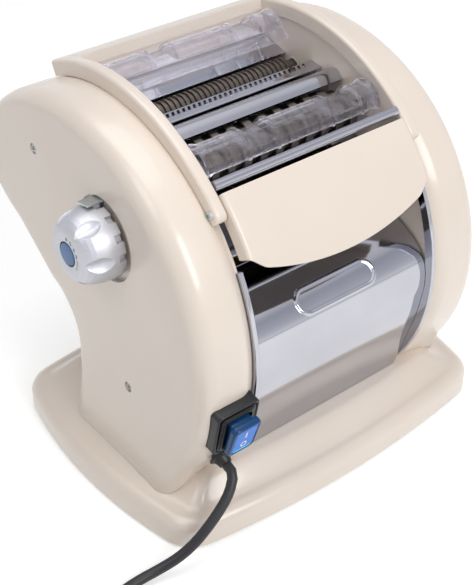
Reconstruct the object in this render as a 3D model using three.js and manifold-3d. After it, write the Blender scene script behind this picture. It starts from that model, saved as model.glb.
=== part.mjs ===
// An electric pasta maker: a painted plinth and two hollow painted cheeks carry two steel
// side plates. Between the plates run a pair of smooth rollers and two pairs of cutters,
// driven by a geared motor through spur gears in the right-hand cheek.
//
// Millimetres, X to the right, Y to the back, Z up. The knob is on the left (-X) and the
// sheet of dough comes out at the front (-Y). Side views are drawn as (y, z) outlines.

import * as THREE from 'three';
import { mergeVertices } from 'three/addons/utils/BufferGeometryUtils.js';
import Module from 'manifold-3d';

const wasm = await Module();
wasm.setup();

// Clearances, the one overrun that every cut uses, the reach that merges two points, and the
// shortest edge that a finished piece keeps where its parts were joined
const fit = 0.3;
const running = 0.6;
const overrun = 2;
const weld = 1e-4;
const leastEdge = 0.01;

// Plinth
const baseHalfWide = 150;
const baseHalfDeep = 113.6;
const baseSideBow = 371;
const baseFrontBow = 789;
const baseCorner = 26;
const baseCornerLeast = 8;
const baseWallTop = 13;
const baseShoulder = 10;
const baseShoulderTop = 22;
const baseTop = 36;
const baseTopInSide = 42;
const baseTopInFront = 30;
const baseSkin = 2.5;
const footHigh = 2;
const footWide = 16;
const footLong = 150;
const footStem = 12;
const footStemRadius = 1.3;
const bottomPlateThick = 1.5;
const postInset = 50;
const postInsetEnd = 53.6;
const postRadius = 4.5;

// The arc that the whole body follows, and the side plates
const arcY = 42;
const arcZ = 125;
const plateGap = 155;
const plateThick = 2;
const plateInset = 0.3;

// Bright band round each plate's front edge
const trimArcIn = 137;
const trimArcOut = 144;
const trimLipIn = 76.3;
const trimLip = 0.9;
const trimTopAngle = 151.8;
const trimBottomAngle = 216.2;

// Cheeks
const cheekArc = 140;
const cheekLift = 0.5;
const cheekWideTop = 119;
const cheekWideBottom = 124.5;
const cheekTopZ = 265;
const cheekRound = 20;
const cheekWall = 3;
const cheekCrownFront = 6;
const cheekCrownTop = 1;
const cheekCrownWide = 13;
const cheekFlare = 6;
const cheekFlareHigh = 15;
const headRadius = 51;
const headAngle = 52.6;
const neckRadius = 38;
const neckY = 44;
const tipAngle = -20;
const upperCheekScrewY = 78.3;
const upperCheekScrewZ = 220.7;
const lowerCheekScrewY = -22.5;
const lowerCheekScrewZ = 86.2;

// Top frame and visor
const railLift = 0.6;
const railDeep = 11.4;
const railIn = 76;
const railOut = 85;
const railSheet = 1.6;
const railFrontAngle = 139;
const railRearAngle = 65;
const crossRailAngle = 74;
const crossWallAngle = 73.1;
const crossWallDeep = 25;
const visorProud = 1.4;
const visorSheet = 1.6;
const visorTopAngle = 133.2;
const visorEndZ = 200;
const visorSmile = 14;
const visorCorner = 12;
const visorSideDeep = 9;

// Front plate and its bare raised frame
const frontClear = 1.5;
const frontSheet = 1.2;
const frontFootY = -75;
const frontDeep = 21;
const frontHigh = 127;
const frameWide = 68;
const frameHigh = 19;
const frameRim = 2;
const frameProud = 0.9;
const frameY = -88;
const frameZ = 150;
const frameTurn = 146;

// Sheet-metal guides in the opening
const sheet = 1.2;
const guideClear = 0.3;
const deckClear = 0.5;
const deckBead = 3.3;
const deckBeadY = -55.5;
const deckBeadZ = 238.2;
const deckBackY = -36;
const deckBackZ = 223;
const deckKneeY = -44;
const deckKneeZ = 229;
const hoodBackY = 11.8;
const hoodFootZ = 209;
const hoodTopZ = 243.5;
const hoodCrestY = 4;
const hoodCrestZ = 246;
const hoodFrontY = -3;
const hoodFrontZ = 240.9;
const combFrontY = 18.4;
const combFootZ = 209;
const combTopZ = 242;
const combKneeY = 24.5;
const combBackY = 29;
const combBackZ = 243;
const combSlots = 14;
const combSlotWide = 3.2;
const rearGuideBackY = 94;
const rearGuideBackZ = 247.5;
const rearGuideMidY = 66;
const rearGuideMidZ = 239.8;
const rearGuideFrontY = 57;
const rearGuideFrontZ = 237.5;
const frontGuideBackY = 2;
const frontGuideBackZ = 214;
const frontGuideFrontY = -62;
const frontGuideFrontZ = 187;
const trayBackY = 66;
const trayBackZ = 224;
const trayBend = 20;
const trayLowZ = 172;
const trayMidY = -20;
const trayMidZ = 168;
const trayFrontY = -50;
const trayFrontZ = 167;
const coverInset = 1.5;
const coverLapAngle = 1;

// Rollers, cutters and gears
const gearModule = 1.8;
const addendumShare = 0.8;
const dedendumShare = 1.2;
const toothSlopeShare = 0.364;
const backlash = 0.5;
const rollerTeeth = 15;
const cutterTeeth = 10;
const largeIdlerTeeth = 17;
const smallIdlerTeeth = 12;
const mainModule = 2;
const mainTeeth = 36;
const pinionTeeth = 12;
const gearWide = 6;
const gearLayer = 1.5;
const gearStandOff = 3.5;
const rollerRadius = 13;
const rollerHalfLong = 74.5;
const shaftRadius = 5;
const shaftEnd = 0.5;
const bushWall = 1.3;
const carrierThick = 1.4;
const carrierRim = 1.6;
const rollerY = 24.5;
const rollerZ = 192.6;
const fineCutterY = 49;
const fineCutterZ = 231;
const fineCutterRadius = 8.7;
const fineCutterHalfLong = 69;
const wideCutterY = -4;
const wideCutterZ = 228;
const wideCutterRadius = 10.4;
const wideCutterRoot = 7.2;
const wideCutterPitch = 13;
const wideCutterHalfLong = 68;
const pinionAngle = 243.3;
const gapTravel = 2.6;
const blockHalf = 7;
const yokeBar = 4;
const flangeHalf = 11;
const flangeThick = 2.6;

// Knob, cam and index clip
const knobRadius = 25;
const knobDeep = 27;
const knobSkirt = 9;
const knobStandOff = 0.3;
const knobRecess = 29;
const knobRecessDeep = 3;
const knobNotches = 12;
const knobNotchWide = 5;
const knobNotchDeep = 5;
const knobNotchIn = 2.4;
const knobScoops = 6;
const knobScoopRadius = 9;
const knobScoopLean = 50;
const knobButtonRadius = 7.5;
const knobButtonDeep = 3;
const knobHubRadius = 7.5;
const knobHubLong = 18;
const camRadius = 12;
const camTurn = 300;
const camThick = 4;
const camGap = 5;
const followerRadius = 2.5;
const clipHalfWide = 6;
const clipThick = 1.4;
const clipReach = 12;
const clipTurn = 78;

// Guards over the two pairs of cutters
const guardRadius = 12;
const guardWall = 2;
const guardHalfLong = 71;
const guardRing = 1.4;
const guardRingWide = 1.6;
const guardPinRadius = 1.6;
const guardDisc = 2;
const cupDeepShare = 0.8;
const frontGuardY = -32;
const frontGuardZ = 240;
const frontGuardFrom = 2;
const frontGuardTo = 190;
const frontCupNear = -39;
const frontCupNearEnd = -14;
const frontCupFar = 30;
const frontCupFarEnd = 57;
const rearGuardY = 66;
const rearGuardZ = 256;
const rearGuardFrom = -30;
const rearGuardTo = 157;
const rearCupNear = -38;
const rearCupNearEnd = -16;
const rearCupFar = 31;
const rearCupFarEnd = 55;
const rearSkirtY = 46;
const rearSkirtZ = 255.2;
const rearSkirtLapAngle = 9;

// Rods, screws and brackets
const upperRodY = 95;
const upperRodZ = 216;
const lowerRodY = -55;
const lowerRodZ = 70;
const tieRodRadius = 4;
const tieNeckRadius = 2.6;
const tieReach = 2.5;
const screwRadius = 2;
const screwHeadRadius = 3.6;
const screwHeadHigh = 1.3;
const screwSink = 1.5;
const smallScrewRadius = 1.3;
const smallScrewHeadRadius = 3;
const railScrewAngle = 136.4;
const railScrewArc = 146.2;
const bracketHigh = 20;
const bracketFoot = 15;
const bracketThick = 1.8;

// Motor and gearbox
const motorRadius = 32;
const motorY = -10;
const motorZ = 95;
const motorLeft = -60;
const motorRight = 30;
const motorBoss = 12;
const motorChamfer = 3;
const gearboxRadius = 36;
const gearboxNose = 12;
const gearboxBore = 12;
const mountThick = 4;
const mountFloor = 2;
const mountHalfDeep = 36;
const mountRise = 46;

// Switch, with its places measured out from the cheek's surface
const switchX = -98.5;
const switchAngle = 191.5;
const switchWide = 33;
const switchHigh = 37;
const switchProud = 5;
const switchCorner = 4;
const switchSink = 6;
const switchBodyDeep = 20;
const switchFrame = 4;
const rockerWide = 22;
const rockerHigh = 29;
const rockerFront = 14;
const rockerBack = 8.6;
const rockerStemWide = 17;
const rockerStemHigh = 22;
const rockerStemBack = 8;
const rockerPivot = 2;
const rockerPinRadius = 1.5;
const rockerPinSink = 2;
const rockerTilt = 7;

// Gland
const glandX = -99;
const glandAngle = 206.6;
const glandFlangeRadius = 8.25;
const glandFlange = 3;
const glandNeckRadius = 5.2;
const glandSleeveRadius = 6.4;
const glandTipRadius = 4.6;
const glandInside = 14;
const glandOutside = 8;

// Cord and plug
const cordRadius = 3.5;
const cordLength = 1500;
const cordStep = 12;
const coilTurns = 5.25;
const coilStart = 90;
const coilClimbTurns = 0.5;
const coilGap = 0.7;
const coilX = -232;
const coilY = -159;
const tieThick = 1;
const tieLong = 8;
const tieTurn = 135;
const coilTail = 42;
const plugWide = 36;
const plugLong = 34;
const plugNeck = 8;
const plugTail = 4.6;
const plugRoundShare = 0.6;
const plugPinRadius = 2.4;
const plugPinLong = 19;
const plugPinPitch = 19;

// Places that many pieces share
const degree = Math.PI / 180;
const plateIn = plateGap / 2;
const plateOut = plateIn + plateThick;
const cheekIn = plateOut + fit;
const guideHalfWide = plateIn - guideClear;
const frontHalfWide = plateIn - frontClear;
const deckHalfWide = railIn - deckClear;
const visorHalfWide = railIn - fit;
const cheekFootZ = baseTop + cheekLift;
const postX = baseHalfWide - postInset;
const postY = baseHalfDeep - postInsetEnd;
const railArcIn = cheekArc + railLift;
const railArcOut = railArcIn + railDeep;
const visorArc = railArcOut + visorProud;
const gearIn = plateOut + gearStandOff;
const gearOut = gearIn + gearWide;
const mainIn = gearOut + gearLayer;
const mainOut = mainIn + gearWide;
const bushOuter = shaftRadius + running + bushWall;
const rollerSpacing = gearModule * rollerTeeth;
const cutterSpacing = gearModule * cutterTeeth;
const rollerBY = rollerY - rollerSpacing;
const headY = arcY + (cheekArc - headRadius) * Math.cos(headAngle * degree);
const headZ = arcZ + (cheekArc - headRadius) * Math.sin(headAngle * degree);
const neckArcY = neckY + neckRadius;
const neckArcZ = headZ - Math.sqrt((neckRadius + headRadius) ** 2 - (headY - neckArcY) ** 2);
const joinTurn = Math.atan2(headZ - neckArcZ, headY - neckArcY) / degree;

// Small helpers

function polar(y, z, radius, turn) {
  return new THREE.Vector2(y + radius * Math.cos(turn * degree), z + radius * Math.sin(turn * degree));
}

function arc(y, z, radius, from, to, steps) {
  return Array.from({ length: steps + 1 }, (_, i) => polar(y, z, radius, from + (to - from) * i / steps));
}

function circle(y, z, radius, sides = 16) {
  return arc(y, z, radius, 0, 360, sides).slice(0, -1);
}

function points(...pairs) {
  return pairs.map(([y, z]) => new THREE.Vector2(y, z));
}

function rectangle(x0, y0, x1, y1) {
  return points([x0, y0], [x1, y0], [x1, y1], [x0, y1]);
}

// A rectangle centred on zero with round corners
function rounded(wide, high, corner, steps = 3) {
  const x = wide / 2 - corner;
  const y = high / 2 - corner;
  return [
    ...arc(x, y, corner, 0, 90, steps), ...arc(-x, y, corner, 90, 180, steps),
    ...arc(-x, -y, corner, 180, 270, steps), ...arc(x, -y, corner, 270, 360, steps),
  ];
}

function smooth(share) {
  const t = THREE.MathUtils.clamp(share, 0, 1);
  return t * t * (3 - 2 * t);
}

// The point that lies ra from A and rb from B; side 1 is on the left of the line from A to B
function meet(a, ra, b, rb, side) {
  const span = a.distanceTo(b);
  const along = (ra * ra - rb * rb + span * span) / (2 * span);
  const off = Math.sqrt(ra * ra - along * along) * side;
  const u = b.clone().sub(a).divideScalar(span);
  return new THREE.Vector2(a.x + u.x * along - u.y * off, a.y + u.y * along + u.x * off);
}

// A closed skin as a solid: points merged, triangles with no area dropped, faces turned out
function solid(geometry) {
  const bare = geometry.clone();
  bare.deleteAttribute('normal');
  bare.deleteAttribute('uv');
  const merged = mergeVertices(bare, weld);
  const old = merged.index.array;
  const at = (i) => new THREE.Vector3().fromBufferAttribute(merged.attributes.position, i);
  let kept = [];
  let volume = 0;
  for (let i = 0; i < old.length; i += 3) {
    const [a, b, c] = [old[i], old[i + 1], old[i + 2]];
    if (a === b || b === c || c === a) continue;
    kept.push(a, b, c);
    volume += at(a).dot(at(b).cross(at(c)));
  }
  if (volume < 0) kept = kept.reverse();
  return new wasm.Manifold(new wasm.Mesh({
    numProp: 3,
    vertProperties: Float32Array.from(merged.attributes.position.array),
    triVerts: Uint32Array.from(kept),
  }));
}

function geometryOf(body) {
  const mesh = body.getMesh();
  const geometry = new THREE.BufferGeometry();
  geometry.setAttribute('position', new THREE.Float32BufferAttribute(mesh.vertProperties, 3));
  geometry.setIndex(Array.from(mesh.triVerts));
  geometry.computeVertexNormals();
  return geometry;
}

function together(...bodies) {
  return bodies.reduce((sum, body) => sum.add(body));
}

function placed(body, matrix) {
  return solid(geometryOf(body).applyMatrix4(matrix));
}

function mirrored(body) {
  return placed(body, new THREE.Matrix4().makeScale(-1, 1, 1));
}

function bothSides(body) {
  return body.add(mirrored(body));
}

function extruded(outline, depth, holes = []) {
  const shape = new THREE.Shape(outline);
  shape.holes = holes.map((hole) => new THREE.Path(hole));
  return new THREE.ExtrudeGeometry(shape, { depth, bevelEnabled: false });
}

// An outline in (y, z) drawn out along X from x0 to x1
const sideways = new THREE.Matrix4().makeBasis(
  new THREE.Vector3(0, 1, 0), new THREE.Vector3(0, 0, 1), new THREE.Vector3(1, 0, 0));

function alongX(outline, x0, x1, holes = []) {
  const geometry = extruded(outline, Math.abs(x1 - x0), holes);
  return solid(geometry.applyMatrix4(sideways).translate(Math.min(x0, x1), 0, 0));
}

// An outline in (x, y) drawn up from z0 to z1
function alongZ(outline, z0, z1, holes = []) {
  return solid(extruded(outline, z1 - z0, holes).translate(0, 0, z0));
}

function box(x0, x1, y0, y1, z0, z1) {
  return alongZ(rectangle(x0, y0, x1, y1), z0, z1);
}

function rod(y, z, radius, x0, x1, sides = 16) {
  return alongX(circle(y, z, radius, sides), x0, x1);
}

// A shape turned round an axis along X at (y, z), from profile points (x, radius)
function turned(profile, y, z, sides = 24) {
  const lathe = new THREE.LatheGeometry(profile.map(([x, r]) => new THREE.Vector2(r, x)), sides);
  return solid(lathe.rotateZ(-Math.PI / 2).translate(0, y, z));
}

// Sheet metal: a line of (y, z) points with its thickness on the left of its run
function ribbon(points, thick) {
  const offset = points.map((point, i) => {
    const before = points[Math.max(i - 1, 0)];
    const after = points[Math.min(i + 1, points.length - 1)];
    const run = after.clone().sub(before).normalize();
    return new THREE.Vector2(point.x - run.y * thick, point.y + run.x * thick);
  });
  return [...points, ...offset.reverse()];
}

// A skin over closed rings of equal count, with its first and last rings filled
function loft(rings, startAxes, endAxes) {
  const count = rings[0].length;
  const index = [];
  for (let i = 0; i + 1 < rings.length; i += 1) {
    for (let j = 0; j < count; j += 1) {
      const a = i * count + j;
      const b = i * count + (j + 1) % count;
      index.push(a, b, b + count, a, b + count, a + count);
    }
  }
  capOf(rings[0], startAxes).forEach(([a, b, c]) => index.push(a, c, b));
  const last = (rings.length - 1) * count;
  capOf(rings[rings.length - 1], endAxes).forEach(([a, b, c]) => index.push(last + a, last + b, last + c));
  const geometry = new THREE.BufferGeometry();
  const positions = rings.flat().flatMap((p) => [p.x, p.y, p.z]);
  geometry.setAttribute('position', new THREE.Float32BufferAttribute(positions, 3));
  geometry.setIndex(index);
  return solid(geometry);
}

// Triangles over one ring, all running the way that the ring runs
function capOf(points, axes) {
  const flat = points.map((p) => new THREE.Vector2(p.getComponent(axes[0]), p.getComponent(axes[1])));
  const backwards = THREE.ShapeUtils.area(flat) < 0;
  const triangles = THREE.ShapeUtils.triangulateShape(flat, []);
  return triangles.map(([a, b, c]) => {
    const runs = THREE.ShapeUtils.area([flat[a], flat[b], flat[c]]) < 0;
    return runs === backwards ? [a, b, c] : [a, c, b];
  });
}

// The side outline of the body, as runs of arcs and lines that carry their outward normals

function arcRun(y, z, radius, from, to, out = 1) {
  return {
    length: Math.abs(to - from) * degree * radius,
    at: (share) => {
      const turn = from + (to - from) * share;
      return { point: polar(y, z, radius, turn), normal: polar(0, 0, out, turn) };
    },
  };
}

function lineRun(from, to, normal) {
  return { length: from.distanceTo(to), at: (share) => ({ point: from.clone().lerp(to, share), normal }) };
}

function frontRuns(inset, footZ) {
  const radius = cheekArc - inset;
  const foot = 180 + Math.asin((arcZ - footZ) / radius) / degree;
  return [
    arcRun(arcY, arcZ, radius, foot, headAngle),
    arcRun(headY, headZ, headRadius - inset, headAngle, tipAngle),
  ];
}

function rearRuns(inset, footZ) {
  const y = neckY - inset;
  return [
    lineRun(new THREE.Vector2(y, footZ), new THREE.Vector2(y, neckArcZ), new THREE.Vector2(1, 0)),
    arcRun(neckArcY, neckArcZ, neckRadius + inset, 180, joinTurn, -1),
    arcRun(headY, headZ, headRadius - inset, joinTurn - 180, tipAngle),
  ];
}

function walk(runs, share) {
  let left = share * runs.reduce((sum, run) => sum + run.length, 0);
  for (const run of runs.slice(0, -1)) {
    if (left <= run.length) return run.at(left / run.length);
    left -= run.length;
  }
  const end = runs[runs.length - 1];
  return end.at(Math.min(left / end.length, 1));
}

function walkPoints(runs, steps) {
  return Array.from({ length: steps + 1 }, (_, i) => walk(runs, i / steps).point);
}

// The cheek's face swells a little in front of the outline, most where it faces forward
function crownAt(normalY) {
  return cheekCrownTop + (cheekCrownFront - cheekCrownTop) * smooth(Math.max(-normalY, 0));
}

function cheekOuter(z) {
  const widen = (cheekWideBottom - cheekWideTop) * (cheekTopZ - z) / (cheekTopZ - cheekFootZ);
  return cheekWideTop + widen + cheekFlare * Math.exp(Math.min(cheekFootZ - z, 0) / cheekFlareHigh);
}

// How much of the crown is reached at a distance in from the side plate
const crownShares = [[0, 0], [0.31, 0.45], [1, 1]];

function crownShareAt(x) {
  const reach = THREE.MathUtils.clamp((x - cheekIn) / cheekCrownWide, 0, 1);
  const next = Math.max(crownShares.findIndex(([far]) => far >= reach), 1);
  const [x0, y0] = crownShares[next - 1];
  const [x1, y1] = crownShares[next];
  return y0 + (y1 - y0) * (reach - x0) / (x1 - x0);
}

// A frame that stands on the cheek's front surface: X, up along the surface, and out of it
function onCheekFront(x, turn) {
  const out = polar(0, 0, 1, turn);
  const foot = polar(arcY, arcZ, cheekArc + crownAt(out.x), turn);
  const matrix = new THREE.Matrix4().makeBasis(
    new THREE.Vector3(1, 0, 0), new THREE.Vector3(0, out.y, -out.x), new THREE.Vector3(0, out.x, out.y));
  return matrix.setPosition(x, foot.x, foot.y);
}

// A round piece whose axis runs along local Z, from profile points (z, radius)
function spun(profile, sides = 16) {
  const lathe = new THREE.LatheGeometry(profile.map(([z, r]) => new THREE.Vector2(r, z)), sides);
  return solid(lathe.rotateX(Math.PI / 2));
}

// Plinth

// One ring of the plinth's plan, drawn in by its own inset on the sides and on the ends
function planRing(inSide, inFront, z, corner) {
  const sideCentre = new THREE.Vector2(baseHalfWide - baseSideBow, 0);
  const frontCentre = new THREE.Vector2(0, baseFrontBow - baseHalfDeep);
  const sideRadius = baseSideBow - inSide;
  const frontRadius = baseFrontBow - inFront;
  const knee = meet(sideCentre, sideRadius - corner, frontCentre, frontRadius - corner, -1);
  const sideTurn = Math.atan2(knee.y, knee.x - sideCentre.x) / degree;
  const frontTurn = Math.atan2(knee.y - frontCentre.y, knee.x) / degree;
  const quarter = [
    ...arc(sideCentre.x, sideCentre.y, sideRadius, 0, sideTurn, 2).slice(0, -1),
    ...arc(knee.x, knee.y, corner, sideTurn, frontTurn, 3),
    ...arc(frontCentre.x, frontCentre.y, frontRadius, frontTurn, -90, 3).slice(1),
  ];
  const turnBack = [...quarter].reverse();
  const plan = [
    ...quarter.slice(0, -1), ...turnBack.map((p) => new THREE.Vector2(-p.x, p.y)).slice(0, -1),
    ...quarter.map((p) => new THREE.Vector2(-p.x, -p.y)).slice(0, -1),
    ...turnBack.map((p) => new THREE.Vector2(p.x, -p.y)).slice(0, -1),
  ];
  return plan.map((p) => new THREE.Vector3(p.x, p.y, z));
}

// The plinth's outside, or its inside when it is drawn in by the skin
function plinthForm(skin, footZ, turns) {
  const corner = (inset) => Math.max(baseCorner - inset - skin, baseCornerLeast);
  const shoulder = turns.map((turn) => {
    const inset = baseShoulder * (1 - Math.cos(turn * degree));
    const z = baseWallTop + (baseShoulderTop - baseWallTop) * Math.sin(turn * degree);
    return planRing(inset + skin, inset + skin, z - skin, corner(inset));
  });
  const top = planRing(baseTopInSide + skin, baseTopInFront + skin, baseTop - skin, corner(baseTopInFront));
  return loft([planRing(skin, skin, footZ, corner(0)), ...shoulder, top], [0, 1], [0, 1]);
}

const corners = [[1, 1], [1, -1], [-1, 1], [-1, -1]];

function post(x, y, radius, z0, z1) {
  return alongZ(circle(x, y, radius, 6), z0, z1);
}

function baseShell() {
  const inside = plinthForm(baseSkin, footHigh - overrun, [0, 90]);
  const shell = plinthForm(0, footHigh, [0, 30, 60, 90]).subtract(inside);
  const foot = footHigh + bottomPlateThick;
  const top = baseTop - baseSkin / 2;
  const posts = corners.map(([sx, sy]) => post(sx * postX, sy * postY, postRadius, foot, top));
  const bores = corners.map(([sx, sy]) => (
    post(sx * postX, sy * postY, footStemRadius + fit, foot - overrun, foot + footStem)));
  return together(shell, ...posts).subtract(together(...bores));
}

function basePlate() {
  const ring = planRing(baseSkin + fit, baseSkin + fit, 0, baseCorner - baseSkin);
  const plan = ring.map((p) => new THREE.Vector2(p.x, p.y));
  const holes = corners.map(([sx, sy]) => circle(sx * postX, sy * postY, footStemRadius + fit, 6));
  return alongZ(plan, footHigh, footHigh + bottomPlateThick, holes);
}

// A rubber strip under each side, held by two stems that press into the plinth's posts
function rubberFoot() {
  const outline = rounded(footWide, footLong, footWide / 4, 2);
  const strip = alongZ(outline.map((p) => p.add(new THREE.Vector2(postX, 0))), 0, footHigh);
  const stems = [-postY, postY].map((y) => (
    post(postX, y, footStemRadius, footHigh / 2, footHigh + footStem)));
  return together(strip, ...stems);
}

// Cheeks

function cheekRing(front, rear, inset, xIn, crownSteps, roundSteps) {
  const across = rear.point.clone().sub(front.point).normalize();
  const round = cheekRound - inset;
  const half = (end, sign) => {
    const crown = crownAt(end.normal.x);
    const lip = crownSteps.map(([far, share]) => {
      const x = far === 0 ? xIn : cheekIn + cheekCrownWide * far;
      return [x, end.point.clone().addScaledVector(across, -sign * crown * share)];
    });
    const edge = lip[lip.length - 1][1];
    const reach = Math.min(round, front.point.distanceTo(rear.point) / 2);
    const most = Math.acos(1 - reach / round);
    const curve = Array.from({ length: roundSteps + 1 }, (_, step) => {
      const turn = most * step / roundSteps;
      const point = edge.clone().addScaledVector(across, sign * round * (1 - Math.cos(turn)));
      return [cheekOuter(point.y) - inset - round + round * Math.sin(turn), point];
    });
    return [...lip, ...curve].map(([x, p]) => new THREE.Vector3(x, p.x, p.y));
  };
  return [...half(front, 1), ...half(rear, -1).reverse()];
}

// Rows lie closer together round the head; the last leaves a small flat at the tip
const outerLook = { rows: 18, crownSteps: crownShares, roundSteps: 3 };
const innerLook = { rows: 9, crownSteps: [crownShares[0], crownShares[2]], roundSteps: 2 };
const tipShare = 0.99;
const rowCrowdShare = 1.25;

function cheekForm(inset, xIn, { rows, crownSteps, roundSteps }) {
  const footZ = baseShoulderTop - overrun - inset;
  const front = frontRuns(inset, footZ);
  const rear = rearRuns(inset, footZ);
  const rings = Array.from({ length: rows + 1 }, (_, i) => {
    const share = tipShare * (1 - (1 - i / rows) ** rowCrowdShare);
    return cheekRing(walk(front, share), walk(rear, share), inset, xIn, crownSteps, roundSteps);
  });
  return loft(rings, [0, 1], [0, 2]);
}

const cheekScrewPlaces = [
  { y: upperCheekScrewY, z: upperCheekScrewZ },
  { y: lowerCheekScrewY, z: lowerCheekScrewZ },
];

function cheekScrewCut({ y, z }) {
  const face = cheekOuter(z);
  const well = rod(y, z, screwHeadRadius + fit, face - screwSink, face + overrun, 10);
  return well.add(rod(y, z, screwRadius + fit, face - cheekWall - overrun, face, 8));
}

function cheek() {
  const hollow = cheekForm(0, cheekIn, outerLook).subtract(cheekForm(cheekWall, cheekIn - overrun, innerLook));
  const plinth = plinthForm(-cheekLift, 0, [0, 30, 60, 90]);
  return hollow.subtract(plinth).subtract(together(...cheekScrewPlaces.map(cheekScrewCut)));
}

const knobPlane = cheekOuter(rollerZ) - knobRecessDeep;

function leftCheek() {
  const backed = knobPlane - cheekWall;
  const pad = rod(rollerBY, rollerZ, knobRecess + cheekWall, -backed, -knobPlane - fit, 16);
  const recess = rod(rollerBY, rollerZ, knobRecess, -knobPlane, -knobPlane - knobRecessDeep - overrun, 24);
  const bore = rod(rollerBY, rollerZ, knobHubRadius + running, -backed + overrun, -knobPlane - overrun, 10);
  const opening = rounded(switchWide + 2 * fit, switchHigh + 2 * fit, switchCorner + fit);
  const well = extruded(opening, switchBodyDeep + overrun).translate(0, 0, -switchBodyDeep);
  const switchHole = solid(well).subtract(switchShelf());
  const glandHole = spun([[-glandInside, 0], [-glandInside, glandNeckRadius + fit],
    [overrun, glandNeckRadius + fit], [overrun, 0]], 12);
  return mirrored(cheek()).add(pad).subtract(together(recess, bore))
    .subtract(placed(switchHole, onCheekFront(switchX, switchAngle)))
    .subtract(placed(glandHole, onCheekFront(glandX, glandAngle)));
}

// The step behind the switch's rim that its narrower body passes through
function switchShelf() {
  const wide = switchWide - switchFrame;
  const high = switchHigh - switchFrame;
  const deep = switchBodyDeep - switchSink;
  const outline = rounded(switchWide + 4 * fit, switchHigh + 4 * fit, switchCorner);
  const block = extruded(outline, deep, [rounded(wide + 2 * fit, high + 2 * fit, switchCorner)]);
  return solid(block.translate(0, 0, -switchBodyDeep - fit));
}

// The roller yoke's bar runs just in front of the front roller
const yokeBack = rollerBY - rollerRadius - fit * 3;
const yokeFront = yokeBack - yokeBar;

// Side plates with all their holes

function plateOutline() {
  const front = walkPoints(frontRuns(plateInset, baseTop), 30);
  const rear = walkPoints(rearRuns(plateInset, baseTop), 16).reverse();
  return [...front, ...rear.slice(1)];
}

const smallIdlerReach = gearModule * (cutterTeeth + smallIdlerTeeth) / 2;
const largeIdlerFromRoller = gearModule * (rollerTeeth + largeIdlerTeeth) / 2;
const largeIdlerFromCutter = gearModule * (cutterTeeth + largeIdlerTeeth) / 2;
const pinionReach = mainModule * (mainTeeth + pinionTeeth) / 2;

const axes = {
  rollerA: new THREE.Vector2(rollerY, rollerZ),
  rollerB: new THREE.Vector2(rollerBY, rollerZ),
  fineRear: new THREE.Vector2(fineCutterY, fineCutterZ),
  fineFront: new THREE.Vector2(fineCutterY - cutterSpacing, fineCutterZ),
  wideRear: new THREE.Vector2(wideCutterY, wideCutterZ),
  wideFront: new THREE.Vector2(wideCutterY - cutterSpacing, wideCutterZ),
  pinion: polar(rollerY, rollerZ, pinionReach, pinionAngle),
};
axes.largeIdler = meet(axes.rollerA, largeIdlerFromRoller, axes.fineRear, largeIdlerFromCutter, -1);
axes.smallIdler = meet(axes.fineFront, smallIdlerReach, axes.wideRear, smallIdlerReach, 1);

const cutterAxes = [axes.fineRear, axes.fineFront, axes.wideRear, axes.wideFront];
const rightOnlyAxes = [axes.largeIdler, axes.smallIdler, axes.pinion];
const tieRodPlaces = [new THREE.Vector2(upperRodY, upperRodZ), new THREE.Vector2(lowerRodY, lowerRodZ)];
const guardAxes = [new THREE.Vector2(frontGuardY, frontGuardZ), new THREE.Vector2(rearGuardY, rearGuardZ)];

function sidePlate(bushed) {
  const bushHole = bushed.map((at) => circle(at.x, at.y, bushOuter + fit, 8));
  const tieHoles = tieRodPlaces.map((at) => circle(at.x, at.y, tieNeckRadius + fit, 8));
  const pinHoles = guardAxes.map((at) => circle(at.x, at.y, guardPinRadius + fit, 8));
  const screwHoles = cheekScrewPlaces.map(({ y, z }) => circle(y, z, screwRadius + fit, 8));
  const slot = rectangle(yokeFront - gapTravel - fit, rollerZ - blockHalf - fit,
    rollerBY + blockHalf + fit, rollerZ + blockHalf + fit);
  const holes = [...bushHole, ...tieHoles, ...pinHoles, ...screwHoles, slot];
  return alongX(plateOutline(), plateIn, plateOut, holes);
}

// One moulded bearing carrier lies on each plate, with a bush in every hole
function bearingPlate(bushed, patches) {
  const near = plateOut;
  const far = plateOut + carrierThick;
  const inner = shaftRadius + running;
  const bushes = bushed.map((at) => rod(at.x, at.y, bushOuter, plateIn, near + carrierThick / 2, 8));
  const bores = bushed.map((at) => rod(at.x, at.y, inner, plateIn - overrun, far + overrun, 8));
  const sheets = patches.map((outline) => alongX(outline, near, far));
  return together(...sheets, ...bushes).subtract(together(...bores));
}

// The carrier's outline, as strips that reach a margin past the bushes they join
function carrierPatches(withIdlers) {
  const m = bushOuter + carrierRim;
  const top = fineCutterZ + m;
  const rollerTop = rollerZ - m;
  const low = withIdlers ? axes.smallIdler.y - m : wideCutterZ - m;
  const strip = rectangle(axes.wideFront.x - m, low, fineCutterY + m, wideCutterZ + m);
  const cap = rectangle(axes.fineFront.x - m, low, fineCutterY + m, top);
  const leg = rectangle(rollerY - m, rollerTop, rollerY + m, low + overrun);
  if (!withIdlers) return [strip, cap, leg];
  const idler = axes.largeIdler;
  const idlerLeg = rectangle(idler.x - m, idler.y - m, idler.x + m, low + overrun);
  const { x, y } = axes.pinion;
  const pinionLeg = points([x - m, y - m], [x + m, y - m], [rollerY + m, rollerTop + overrun],
    [rollerY - m, rollerTop + overrun], [x - m, y + m]);
  return [strip, cap, leg, idlerLeg, pinionLeg];
}

function trim() {
  const sweep = (inner, outer, x0, x1) => alongX([
    ...arc(arcY, arcZ, outer, trimTopAngle, trimBottomAngle, 10),
    ...arc(arcY, arcZ, inner, trimBottomAngle, trimTopAngle, 10)], x0, x1);
  return sweep(trimArcIn, trimArcOut, trimLipIn, trimLipIn + trimLip)
    .add(sweep(cheekArc, trimArcOut, trimLipIn + trimLip / 2, plateOut));
}

// Top frame: two channel rails and a cross rail that share one roof

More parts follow.
